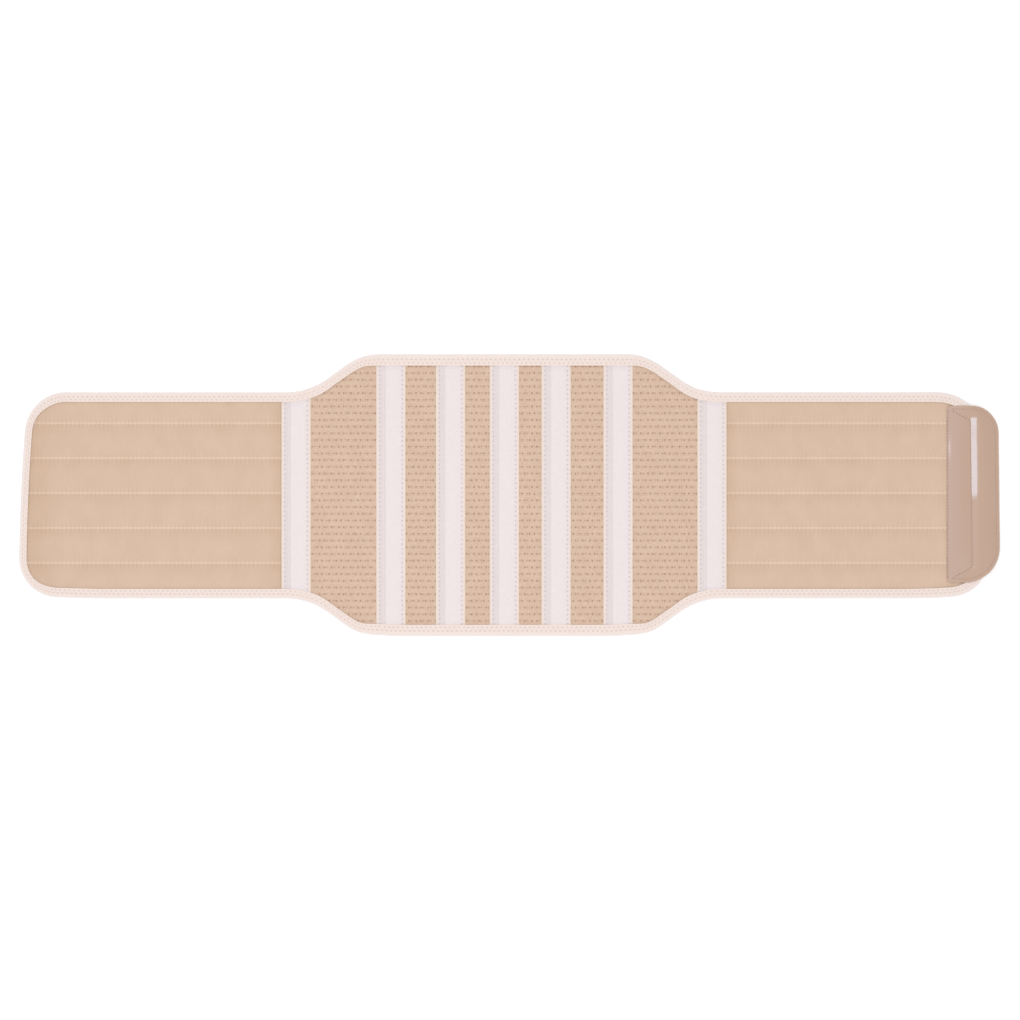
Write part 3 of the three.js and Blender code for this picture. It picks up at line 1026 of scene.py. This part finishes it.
def sew(name, starts, ends, width, material):
    """One mesh of stitches, each from its start to its end."""
    starts, ends = np.asarray(starts), np.asarray(ends)
    along = (ends - starts) / 2
    side = np.column_stack([-along[:, 1], along[:, 0], np.zeros(len(along))])
    side *= (width / 2 / np.linalg.norm(side, axis=1))[:, None]
    up = np.array([0, 0, width / 2])
    placed = (
        (starts + ends)[:, None] / 2
        + along[:, None] * STITCH_POINTS[None, :, :1]
        + side[:, None] * STITCH_POINTS[None, :, 1:2]
        + up * STITCH_POINTS[None, :, 2:]
    )
    faces = []
    for first in range(0, len(starts) * len(STITCH_POINTS), len(STITCH_POINTS)):
        faces += [tuple(first + corner for corner in face) for face in STITCH_FACES]
    mesh = bpy.data.meshes.new(name)
    mesh.from_pydata((placed.reshape(-1, 3) * MM).tolist(), [], faces)
    piece = bpy.data.objects.new(name, mesh)
    bpy.context.collection.objects.link(piece)
    tidy_normals(piece)
    dress(piece, [], [material])
    report_piece(piece)


def sew_lines(name, lines, share, width, material):
    """Sews stitches between the needle holes of each line; the share is how much of the pitch is thread."""
    gaps = [(line[1:] - line[:-1]) * (1 - share) / 2 for line in lines]
    starts = np.concatenate([line[:-1] + gap for line, gap in zip(lines, gaps)])
    ends = np.concatenate([line[1:] - gap for line, gap in zip(lines, gaps)])
    sew(name, starts, ends, width, material)


tape_thread = thread_finish("tape_thread", tint(222, 210, 214), tint(246, 238, 238))
binding_thread = thread_finish("binding_thread", tint(232, 215, 208), tint(250, 240, 235))
tab_thread = thread_finish("tab_thread", tint(160, 135, 120), tint(186, 160, 145))
hem_thread = thread_finish("hem_thread", tint(172, 145, 128), tint(190, 162, 145))
print("one stitch has", len(STITCH_FACES), "faces")

# %% [markdown]
# ## The tapes' finish
# The tapes are tightly woven. Warp and weft show as a fine grid, each selvedge is a little creamier, and
# the left third is a shade darker with fine lines along the tape. The needle holes of both seams are painted
# darker, as painted shade in the holes.

# %% Tape material
TAPE_SEAM = 3.0  # from a tape's edge to its row of stitches
TAPE_STITCH = 4.2

weave, shader, unrolled = finish("tape_weave", roughness=0.75, coordinate="UV")
u, v, _ = unrolled.parts(1)
grid_weave = u.wave(0.9) * v.wave(0.9)
selvedge = 1 - u.step(1.3, 2.1) * (1 - u.step(TAPE_WIDTH - 2.2, TAPE_WIDTH - 1.6))
left_band = u.step(1.8, 2.6) * (1 - u.step(7.6, 9.8))
band_lines = left_band * u.wave(2.0)
needle_rows = u.near(TAPE_SEAM, 1.5) * 0.8 + u.near(TAPE_WIDTH - TAPE_SEAM, 1.5)
# Painted shade: the needle holes are painted darker for the shade in them.
painted_needle_shade = needle_rows * (v + TAPE_STITCH / 4).wave(TAPE_STITCH).step(0.3, 1.0)
yarn = unrolled.noise((0.9, 0.25, 1.0), 3)
wefts = unrolled.noise((0.06, 1.3, 1.0))
shade = 0.68 + 0.08 * grid_weave + 0.35 * yarn + 0.25 * wefts - 0.3 * left_band + 0.1 * band_lines
cool_stripes = 0.5 + 0.5 * u.wave(3.7)
pale = cool_stripes.mix(tint(248, 239, 239), tint(246, 238, 243))
cloth_colour = shade.mix(tint(218, 208, 208), pale)
edged_colour = selvedge.mix(cloth_colour, tint(238, 224, 213))
colour = (0.85 * painted_needle_shade).mix(edged_colour, tint(206, 194, 193))
paint(shader, colour, grid_weave + 0.5 * band_lines, relief=0.08)
print("material", weave.name)

# %% [markdown]
# ## The tapes
# Each tape lies on the panel over a stay: flat selvedges sewn down, a groove along each seam and a low dome
# between them. Its section is lofted from edge to edge, with a pit at every needle hole, and its two ends
# are pressed flat to slip under the binding.

# %% Tapes
TAPE_BASE = 3.3
TAPE_END_BASE = 3.0
TAPE_END_INSET = 6.5
TAPE_END_SHARE = 0.28  # of the tape's height that is left under the binding
TAPE_PRESS_RUN = 4.0  # from the binding's inner edge, where the tape reaches its height
TAPE_ROWS_PER_STITCH = 4
TAPE_UNDERCUT = 0.15
NEEDLE_DIP = 0.3
NEEDLE_RADIUS = 0.4
ON_SEAM = 0.01  # closer to a seam than this is on it
HALF_SECTION = [  # across and up, from a selvedge over the seam's groove to the middle
    (0.0, 0.2), (0.1, 0.42), (0.5, 0.55), (1.2, 0.6), (1.9, 0.58), (2.4, 0.48), (2.7, 0.4),
    (TAPE_SEAM, 0.36), (3.3, 0.42), (3.7, 0.6), (4.5, 0.92), (5.5, 1.2), (7.0, 1.5), (9.0, 1.75),
    (11.0, 1.88), (TAPE_WIDTH / 2, 1.93),
]

half = np.array(HALF_SECTION)
mirrored = np.column_stack([TAPE_WIDTH - half[-2::-1, 0], half[-2::-1, 1]])
underside = [(TAPE_WIDTH - TAPE_UNDERCUT, 0.0), (TAPE_WIDTH / 2, 0.0), (TAPE_UNDERCUT, 0.0)]
tape_section = np.vstack([half, mirrored, underside])

tape_end_line = EDGE + EDGE_INWARD * TAPE_END_INSET
upper_edge = tape_end_line[(tape_end_line[:, 1] > 0) & (np.abs(tape_end_line[:, 0]) < JOIN_X + TAPE_WIDTH)]
upper_edge = upper_edge[np.argsort(upper_edge[:, 0])]


def tape(name, middle):
    """One tape on the panel and on other pieces, from end to end; gives the lines of its stitches."""
    u, rise = tape_section.T
    x = middle - TAPE_WIDTH / 2 + u
    end = np.interp(x, *upper_edge.T)
    stitches = round(2 * np.interp(middle, *upper_edge.T) / TAPE_STITCH)
    rows = stitches * TAPE_ROWS_PER_STITCH
    y = np.linspace(-1, 1, rows + 1)[:, None] * end
    xy = np.stack([np.broadcast_to(x, y.shape), y], axis=-1)
    depth = belt_depth(xy.reshape(-1, 2))[0].reshape(y.shape)
    pressed = 1 - smoothstep(past_binding(xy[..., 0], depth), 0, TAPE_PRESS_RUN)
    base = TAPE_BASE + (TAPE_END_BASE - TAPE_BASE) * pressed
    at_needle = (np.arange(rows + 1) % TAPE_ROWS_PER_STITCH == 0)[:, None]
    seam = np.minimum(np.abs(u - TAPE_SEAM), np.abs(u - (TAPE_WIDTH - TAPE_SEAM)))
    dip = NEEDLE_DIP * np.exp(-((seam / NEEDLE_RADIUS) ** 2)) * at_needle * (rise > 0)
    z = base + rise * (1 - (1 - TAPE_END_SHARE) * pressed) - dip
    along = np.arange(rows + 1) * TAPE_STITCH / TAPE_ROWS_PER_STITCH
    piece = loft(name, np.concatenate([xy, z[..., None]], axis=-1), [*u, 0.0], along)
    dress(piece, [name.replace("_woven", "")], [weave])
    report_piece(piece)
    rows_sewn = []
    for point in np.flatnonzero((seam < ON_SEAM) & (rise > 0)):
        line = np.concatenate([xy[:, point], z[:, point, None]], axis=1)[::TAPE_ROWS_PER_STITCH]
        line[:, 2] += NEEDLE_DIP
        clear = past_binding(line[:, 0], depth[::TAPE_ROWS_PER_STITCH, point]) > 0
        rows_sewn.append(line[clear])
    return rows_sewn


tape_lines = []
for number, middle in enumerate(STAY_TAPE_X, start=1):
    tape_lines += tape(f"stay_tape_{number}_woven", middle)
tape_lines += tape("left_join_tape_woven", JOIN_TAPE_X[0])
tape_lines += tape("right_join_tape_woven", JOIN_TAPE_X[1])

# %% Stitches of the tapes
sew_lines("tape_stitches", tape_lines, share=0.72, width=0.55, material=tape_thread)

# %% [markdown]
# ## The binding's finish
# The binding is a soft knitted tape folded over the raw edges. It is cream, painted greyer round the outer
# fold as painted shade where it curves down, wider at the left end, and warmer along its inner edge. It has
# fine ribs across it and painted shade in the needle holes along the zigzag. The holes fade where the tape
# is stretched round a bend.

# %% Binding material
SECTION_WIDTH = 9.2  # the width at which the binding's section and stitches are drawn
ZIGZAG = (4.4, 7.1)  # from the belt's edge to the outer and inner corners of the zigzag

binding_knit, shader, unrolled = finish("binding_knit", roughness=0.85, coordinate="UV")
shader.inputs["Sheen Weight"].default_value = 0.1
across, along, _ = unrolled.parts(1)
x, _, _ = Wire(unrolled.socket.node.outputs["Object"]).parts(1 / MM)
left_end = 1 - x.step(-426.0, -404.0)
# Painted shade: the outer fold is painted greyer where it curves down, over a wider band at the left end.
outer_fold = 1 - across.maths("ABSOLUTE").step(0.0, 2.6 + 2.2 * left_end)
inner_lip = across.step(7.6, 9.0)
ribs = along.wave(1.0) * 0.6 + across.wave(0.9) * 0.4
turn_phase = along * (1 / STITCH_PITCH)
# Painted shade: the needle holes of the zigzag are painted darker.
outer_holes = across.near(ZIGZAG[0], 1.2) * (turn_phase + 0.25).wave(1.0).step(0.2, 1.0)
inner_holes = across.near(ZIGZAG[1], 1.2) * (turn_phase - 0.25).wave(1.0).step(0.2, 1.0)
yarn = unrolled.noise((0.5, 0.5, 1.0), 3)
shade = 0.68 + 0.08 * ribs + 0.4 * yarn
cloth_colour = shade.mix(tint(222, 207, 200), tint(245, 232, 226))
warm_lip = (0.5 * inner_lip).mix(cloth_colour, tint(243, 227, 218))
fold_painted_shade = (0.85 * outer_fold).mix(warm_lip, tint(242, 234, 233))
from_middle = x.maths("ABSOLUTE")
stretched = 0.45 * from_middle.step(395.0, 420.0) + 0.4 * from_middle.near(157.0, 50.0)
painted_hole_shade = (outer_holes + inner_holes) * (0.8 - stretched)
colour = painted_hole_shade.mix(fold_painted_shade, tint(212, 193, 185))
paint(shader, colour, ribs + 0.5 * yarn, relief=0.08)
print("material", binding_knit.name)

# %% [markdown]
# ## The binding
# The section is a flattened U: a lower lip, the round fold and an upper lip, with a slot between them for
# the cloth's edge. It is lofted once round the belt, with four places to each zigzag, so that every needle
# hole pulls a small dimple into the upper lip.

# %% Binding
FOLD_RADIUS = BINDING_HEIGHT / 2
FOLD_STEPS = 9
LIP_DIP = 0.4
LIP_DIP_RADIUS = 0.5
LIP_PUFF = 0.1
UPPER_LIP = [  # depth inside the edge and height, from the fold to the inner edge
    (2.6, 4.24), (3.2, 4.28), (3.8, 4.24), (4.1, 4.17), (4.4, 4.1), (4.7, 4.15), (5.1, 4.22),
    (5.75, 4.26), (6.3, 4.22), (6.7, 4.13), (7.1, 4.05), (7.5, 4.1), (8.1, 4.1), (8.7, 4.04),
    (9.0, 3.97), (9.2, 3.82), (9.1, 3.65),
]
SLOT_INSIDE = [(8.7, 3.58), (1.4, 3.55), (1.4, 0.9), (8.7, 0.88)]
LOWER_LIP = [(9.1, 0.7), (9.2, 0.4), (9.0, 0.1), (8.4, 0.0), (5.0, 0.0)]

fold_angles = np.linspace(-QUARTER_TURN, QUARTER_TURN, FOLD_STEPS)
fold = FOLD_RADIUS * np.column_stack([1 - np.cos(fold_angles), 1 + np.sin(fold_angles)])
section = np.vstack([LOWER_LIP, fold, UPPER_LIP, SLOT_INSIDE])
inset, height = section.T
outside = np.arange(len(section)) < len(section) - len(SLOT_INSIDE)
on_upper_lip = outside & (height > FOLD_RADIUS)
print("binding section of", len(section), "points")

# %% Dimples of the binding
phase = np.arange(len(EDGE)) % STEPS_PER_STITCH
half_pitch = STEPS_PER_STITCH // 2
outer_turn = (phase == 0)[:, None] * np.exp(-(((inset - ZIGZAG[0]) / LIP_DIP_RADIUS) ** 2))
inner_turn = (phase == half_pitch)[:, None] * np.exp(-(((inset - ZIGZAG[1]) / LIP_DIP_RADIUS) ** 2))
between_turns = 1 - np.abs(phase - half_pitch) / STEPS_PER_STITCH
puff = LIP_PUFF * between_turns[:, None] * (inset < ZIGZAG[0])
dimples = np.where(on_upper_lip, puff - LIP_DIP * (outer_turn + inner_turn), 0)
edge_widths = binding_width(EDGE[:, 0]) / SECTION_WIDTH
flat = EDGE[:, None] + EDGE_INWARD[:, None] * (edge_widths[:, None] * inset)[..., None]
z = height + dimples + lift(flat[..., 0])
across = np.where(height > FOLD_RADIUS, inset, -inset)
along = np.arange(len(EDGE) + 1) * STITCH_PITCH / STEPS_PER_STITCH
sections = np.concatenate([flat, z[..., None]], axis=-1)
binding = loft("edge_binding_knit", sections, [*across, across[0]], along, ring=True)
dress(binding, ["edge_binding"], [binding_knit])
report_piece(binding)

# %% [markdown]
# ## The zigzag
# The thread runs from an outer needle hole to the next inner one and back, once round the belt. The part
# under the tab's film is left out, because the tab was sewn on last.

# %% Zigzag stitches
ZIGZAG_EASE = 0.25  # how far the thread stops short of its needle holes
INNER_DROP = 0.1  # how much lower the binding is at the inner corners
TAB_CLEARANCE = 0.5


def edge_point(numbers, depth, rise):
    """Points on the belt's edge line, at a depth inside it and a height above the table."""
    numbers = numbers % len(EDGE)
    flat = EDGE[numbers] + EDGE_INWARD[numbers] * (depth * edge_widths[numbers])[:, None]
    return np.column_stack([flat, rise + lift(flat[:, 0])])


turns = np.arange(0, len(EDGE), STEPS_PER_STITCH)
outer = edge_point(turns, ZIGZAG[0] + ZIGZAG_EASE, BINDING_HEIGHT)
inner = edge_point(turns + half_pitch, ZIGZAG[1] - ZIGZAG_EASE, BINDING_HEIGHT - INNER_DROP)
starts = np.concatenate([outer, inner])
ends = np.concatenate([inner, np.roll(outer, -1, axis=0)])
clear = np.maximum(starts[:, 0], ends[:, 0]) < TAB_LEFT - TAB_CLEARANCE
sew("binding_stitches", starts[clear], ends[clear], width=0.5, material=binding_thread)

# %% [markdown]
# ## The tab's finish
# The tab is a smooth plastic film. It mirrors the softbox wherever it slopes towards it, and what it
# mirrors has a cool tint, which turns the brown film lilac near its left edge; there the film is also
# painted paler, a painted sheen.

# %% Film material
film, shader, place = finish("film", roughness=0.18)
shader.inputs["Specular IOR Level"].default_value = 1.0
shader.inputs["Specular Tint"].default_value = (0.56, 0.75, 0.98, 1.0)
shader.inputs["IOR"].default_value = 1.55
x, y, _ = place.parts(1 / MM)
cloudy = place.noise((60.0, 25.0, 60.0), 3) + 0.5
# Painted sheen: the film is painted paler and lilac towards its left edge.
left_painted_sheen = 1 - x.step(396.0, 416.0)
warm = (0.35 * cloudy + 0.3).mix(tint(186, 152, 126), tint(200, 167, 141))
paint(shader, (0.8 * left_painted_sheen).mix(warm, tint(197, 167, 148)), cloudy, relief=0.1)
print("material", film.name)

# %% [markdown]
# ## The closure tab
# The film is sewn on the wing's end, swells a little between its seams, climbs over the binding and drops
# past the belt's end onto the hook patch. A grid is trimmed to the tab's outline and takes its height from
# what lies beneath it. It has fine columns where it climbs, because the softbox is mirrored just there, and
# a slope that eases off gives the highlight its soft side. Extruding it gives the film its thickness.

# %% Tab outline and sewing lines
TAB_RIGHT = 441.3
TAB_TOP = 79.3
TAB_BOTTOM = -77.8
TAB_LEAN = 0.01
TAB_CORNERS = [  # their sides, radii and first angles, anticlockwise from the lower left
    (TAB_LEFT, TAB_BOTTOM, 3.0, 2 * QUARTER_TURN),
    (TAB_RIGHT, TAB_BOTTOM, 32.0, 3 * QUARTER_TURN),
    (TAB_RIGHT, TAB_TOP, 24.0, 0.0),
    (TAB_LEFT, TAB_TOP, 3.0, QUARTER_TURN),
]
TAB_LINE_STEPS = 1200
TAB_STITCH = 2.9
HEM = 3.0  # from the tab's edge to the row of stitches along it
HEM_GAP = 0.5
SIDE_X = 395.2
CLIMB_UPPER = (415.2, 65.8)  # where the inner seam, beside which the film climbs, ends
CLIMB_LOWER = (416.8, -63.8)

tab_middle = (TAB_LEFT + TAB_RIGHT) / 2


def corner_arc(x, y, radius, start):
    """The quarter circle of the tab's corner between two sides."""
    middle = (x - math.copysign(radius, x - tab_middle), y - math.copysign(radius, y))
    return arc(middle, radius, start, start + QUARTER_TURN)


tab_line = np.vstack([corner_arc(*corner) for corner in TAB_CORNERS])
tab_line[:, 0] -= TAB_LEAN * tab_line[:, 1] * (tab_line[:, 0] - TAB_LEFT) / (TAB_RIGHT - TAB_LEFT)
tab_line, tab_length = evenly(tab_line, TAB_LINE_STEPS)
tab_depth = depth_inside(tab_line)
hem = tab_line + inward_of(tab_line) * HEM
hem = hem[hem[:, 0] > TAB_LEFT + HEM + HEM_GAP]
side_seam = np.array([(SIDE_X, 76.0), (SIDE_X, -74.5)])
upper_seam = np.array([(399.0, 75.0), CLIMB_UPPER])
climb_seam = np.array([CLIMB_UPPER, CLIMB_LOWER])
lower_seam = np.array([CLIMB_LOWER, (399.4, -74.0)])


def stepped(line, pitch):
    """Points along an open line, a pitch apart."""
    along = np.concatenate([[0], np.cumsum(np.linalg.norm(np.diff(line, axis=0), axis=1))])
    places = np.linspace(0, along[-1], round(along[-1] / pitch) + 1)
    return np.column_stack([np.interp(places, along, line[:, axis]) for axis in (0, 1)])


print("tab", round(tab_length), "mm round, hem of", len(hem), "steps")

# %% Film height
FILM_THICKNESS = 0.6
FILM_LOW = 3.1  # the film's underside where it is sewn on the wing
FILM_HIGH = BINDING_HEIGHT + 0.6
CLIMB_SLOPE = (0.208, 0.302)  # of the film beside its inner seam, in its lower and upper half
CLIMB_CHANGE = (-6.0, 4.0)  # where the slope changes
CLIMB_SHARES = [0.0, 0.9, 0.96, 1.25, 1.45]  # parts of the climb, and how steep it is at each
CLIMB_STEEPNESS = [1.0, 1.0, 0.76, 0.6, 0.0]
CLIMB_STEPS = 161
UPPER_CURVE = (68, 75)  # heights past which the climb follows the belt's rounded corners
LOWER_CURVE = (45, 60)
SEAM_RISE = 0.5  # how much higher the inner seam lies in the lower half
SEAM_BAND = (-72, -50)
SEAM_SHARE = (0.2, 1.0)  # of the way to the inner seam, where the film rises to it
TOP_RISE = 0.7  # and at its upper end, where the binding's corner is close
TOP_BAND = (45, 66, 69, 78)
FILM_DROP = (-2.0, 14.0)  # past the belt's edge, where the film drops
BUBBLE_RISE = (0.6, 0.46)  # of the film between its seams: everywhere, and at the bubble's middle
BUBBLE_BAND = (-72, -50, 55, 70)
BUBBLE_Y = 42.0
BUBBLE_REACH = 13.0
BUBBLE_RUN = 9.0
BUBBLE_END = (0.4, 1.0)
SEAM_PRESS = 0.06
SEAM_REACH = 1.2
SEAM_STEP = 0.4

pressed_seams = (side_seam, upper_seam, lower_seam)
seam_tree = tree_of(np.vstack([stepped(line, SEAM_STEP) for line in pressed_seams]))
climb_shares = np.linspace(0, CLIMB_SHARES[-1], CLIMB_STEPS)
steepness = np.interp(climb_shares, CLIMB_SHARES, CLIMB_STEEPNESS)
climbed = np.cumsum(steepness) / steepness.sum()


def eased(share):
    """Climbs evenly from 0, and eases into 1 with a long soft end."""
    return np.interp(share, climb_shares, climbed)


def bubble(x, y, seam_x):
    """The low swelling of the film between its side seam and its inner seam."""
    rise = BUBBLE_RISE[0] + BUBBLE_RISE[1] * np.exp(-(((y - BUBBLE_Y) / BUBBLE_REACH) ** 2))
    share = np.maximum(x - SIDE_X, 0) / BUBBLE_RUN
    inner_end = 1 - smoothstep((x - SIDE_X) / (seam_x - SIDE_X), *BUBBLE_END)
    return rise * plateau(y, *BUBBLE_BAND) * np.sin(np.minimum(share, 1) * QUARTER_TURN) * inner_end


def film_under(flat):
    """The height of the film's underside."""
    x, y = flat.T
    depth, _ = belt_depth(flat)
    row = np.clip(y, climb_seam[1, 1], climb_seam[0, 1])
    seam_x = np.interp(row, climb_seam[::-1, 1], climb_seam[::-1, 0])
    at_corner = smoothstep(y, *UPPER_CURVE) + smoothstep(-y, *LOWER_CURVE)
    past_curve = HALF_LENGTH - END_LEAN * row - seam_x - depth
    past_seam = x - seam_x + at_corner * (past_curve - (x - seam_x))
    upper_half = smoothstep(y, *CLIMB_CHANGE)
    slope = CLIMB_SLOPE[0] + (CLIMB_SLOPE[1] - CLIMB_SLOPE[0]) * upper_half
    seam_rise = SEAM_RISE * (1 - upper_half) * smoothstep(y, *SEAM_BAND)
    top_rise = TOP_RISE * plateau(y, *TOP_BAND)
    to_seam = smoothstep((x - SIDE_X) / (seam_x - SIDE_X), *SEAM_SHARE)
    climb = FILM_HIGH - FILM_LOW - seam_rise
    height = FILM_LOW + (seam_rise + top_rise) * to_seam + bubble(x, y, seam_x)
    height += climb * eased(past_seam * slope / climb)
    height *= 1 - smoothstep(-depth, *FILM_DROP)
    seam = np.array([seam_tree.find((px, py, 0))[2] for px, py in flat])
    press = SEAM_PRESS * np.exp(-((seam / SEAM_REACH) ** 2))
    return height - press + lift(x)


def film_top(flat):
    """The height of the film's outer face."""
    return film_under(flat) + FILM_THICKNESS


tab_ends = np.array([CLIMB_UPPER, CLIMB_LOWER])
print("film at the inner seam's ends", film_top(tab_ends).round(2))

# %% Closure tab
FINE_FROM = 413.5  # between these the columns are fine
FINE_TO = 426.0
FILM_COLUMNS = (24, 34, 18)  # before, in and past that part
FILM_ROWS = 141
TAB_SPARE = 1.5  # columns past the tab, for the trim to draw in
RIM_RADIUS = 0.25
RIM_ANGLE = math.radians(60)

film_columns = np.concatenate([
    np.linspace(TAB_LEFT, FINE_FROM, FILM_COLUMNS[0], endpoint=False),
    np.linspace(FINE_FROM, FINE_TO, FILM_COLUMNS[1], endpoint=False),
    np.linspace(FINE_TO, TAB_RIGHT + TAB_SPARE, FILM_COLUMNS[2]),
])
film_rows = np.linspace(TAB_BOTTOM, TAB_TOP, FILM_ROWS)
tab = sheet_over("closure_tab_film", film_columns, film_rows)
trim(tab, tab_depth, 0.0)
thicken(tab, film_top, film_under)
bevel = tab.modifiers.new("rounded_rim", "BEVEL")
bevel.width = RIM_RADIUS * MM
bevel.segments = 2
bevel.limit_method = "ANGLE"
bevel.angle_limit = RIM_ANGLE
alone(tab)
bpy.ops.object.modifier_apply(modifier="rounded_rim")
dress(tab, ["closure_tab"], [film])
report_piece(tab)

# %% Stitches of the tab
TAB_STITCH_SHARE = 0.55
TAB_THREAD_RISE = 0.1


def on_film(line):
    """The needle holes along a line, on the film."""
    needles = stepped(line, TAB_STITCH)
    return np.column_stack([needles, film_top(needles) + TAB_THREAD_RISE])


seams = [on_film(line) for line in (side_seam, upper_seam, climb_seam, lower_seam)]
sew_lines("tab_stitches", seams, TAB_STITCH_SHARE, width=0.75, material=tab_thread)
sew_lines("tab_hem_stitches", [on_film(hem)], TAB_STITCH_SHARE, width=0.5, material=hem_thread)

# %% [markdown]
# ## The hook patch
# The patch under the tab holds the belt closed. It is a stiff woven tape with rows of tiny hooks that face
# the table. Nobody sees it while the belt lies like this, but it is there when the part is turned over. It
# is flat under the belt and follows the film up past the belt's end, so that no gap opens at its rim.

# %% Hook patch
HOOK_INSET = 1.5
HOOK_BASE = 0.45
HOOK_TOP = 1.0
HOOK_RISE = 3.0  # how far the patch follows the film up, past the belt's end
HOOK_RISE_RUN = (0.3, 2.5)
PATCH_COLUMNS = 33
PATCH_ROWS = 81

hook_finish, shader, place = finish("hook_tape", roughness=0.5)
x, y, _ = place.parts(1 / MM)
backing = x.wave(0.8) * y.wave(0.8)
uneven = place.noise(200.0, 3)
shade = 0.5 + 0.2 * backing + 0.6 * uneven
paint(shader, shade.mix(tint(190, 162, 143), tint(222, 198, 180)), backing, relief=0.08)


def hook_rise(flat):
    """How far the patch is drawn up to the film: not under the belt, and more and more past its edge."""
    depth, _ = belt_depth(flat)
    return np.clip(film_under(flat) - HOOK_TOP, 0, HOOK_RISE) * smoothstep(-depth, *HOOK_RISE_RUN)


patch_columns = np.linspace(TAB_LEFT, TAB_RIGHT + TAB_SPARE, PATCH_COLUMNS)
patch_rows = np.linspace(TAB_BOTTOM, TAB_TOP, PATCH_ROWS)
patch = sheet_over("hook_patch_tape", patch_columns, patch_rows)
trim(patch, tab_depth, HOOK_INSET)
thicken(patch, lambda flat: HOOK_TOP + hook_rise(flat), lambda flat: HOOK_BASE + hook_rise(flat))
dress(patch, ["hook_patch"], [hook_finish])
report_piece(patch)

# %% Hooks
HOOK_PITCH = 2.2
HOOK_WIDTH = 0.5
HOOK_REACH = np.array([0.35, 0, 0])  # from a hook's middle to its end
HOOK_DROP = 0.15
HOOK_START = 3.0
HOOK_STOP = 2.0
HOOK_MARGIN = 0.8

hook_xs = np.arange(TAB_LEFT + HOOK_START, TAB_RIGHT - HOOK_STOP, HOOK_PITCH)
hook_ys = np.arange(TAB_BOTTOM + HOOK_START, TAB_TOP - HOOK_STOP, HOOK_PITCH)
hook_grid = np.stack(np.meshgrid(hook_xs, hook_ys), axis=-1).reshape(-1, 2)
depth, _ = tab_depth(hook_grid)
hook_grid = hook_grid[depth > HOOK_INSET + HOOK_MARGIN]
low = np.column_stack([hook_grid, HOOK_BASE - HOOK_DROP + hook_rise(hook_grid)])
sew("hook_patch_hooks", low - HOOK_REACH, low + HOOK_REACH, HOOK_WIDTH, hook_finish)
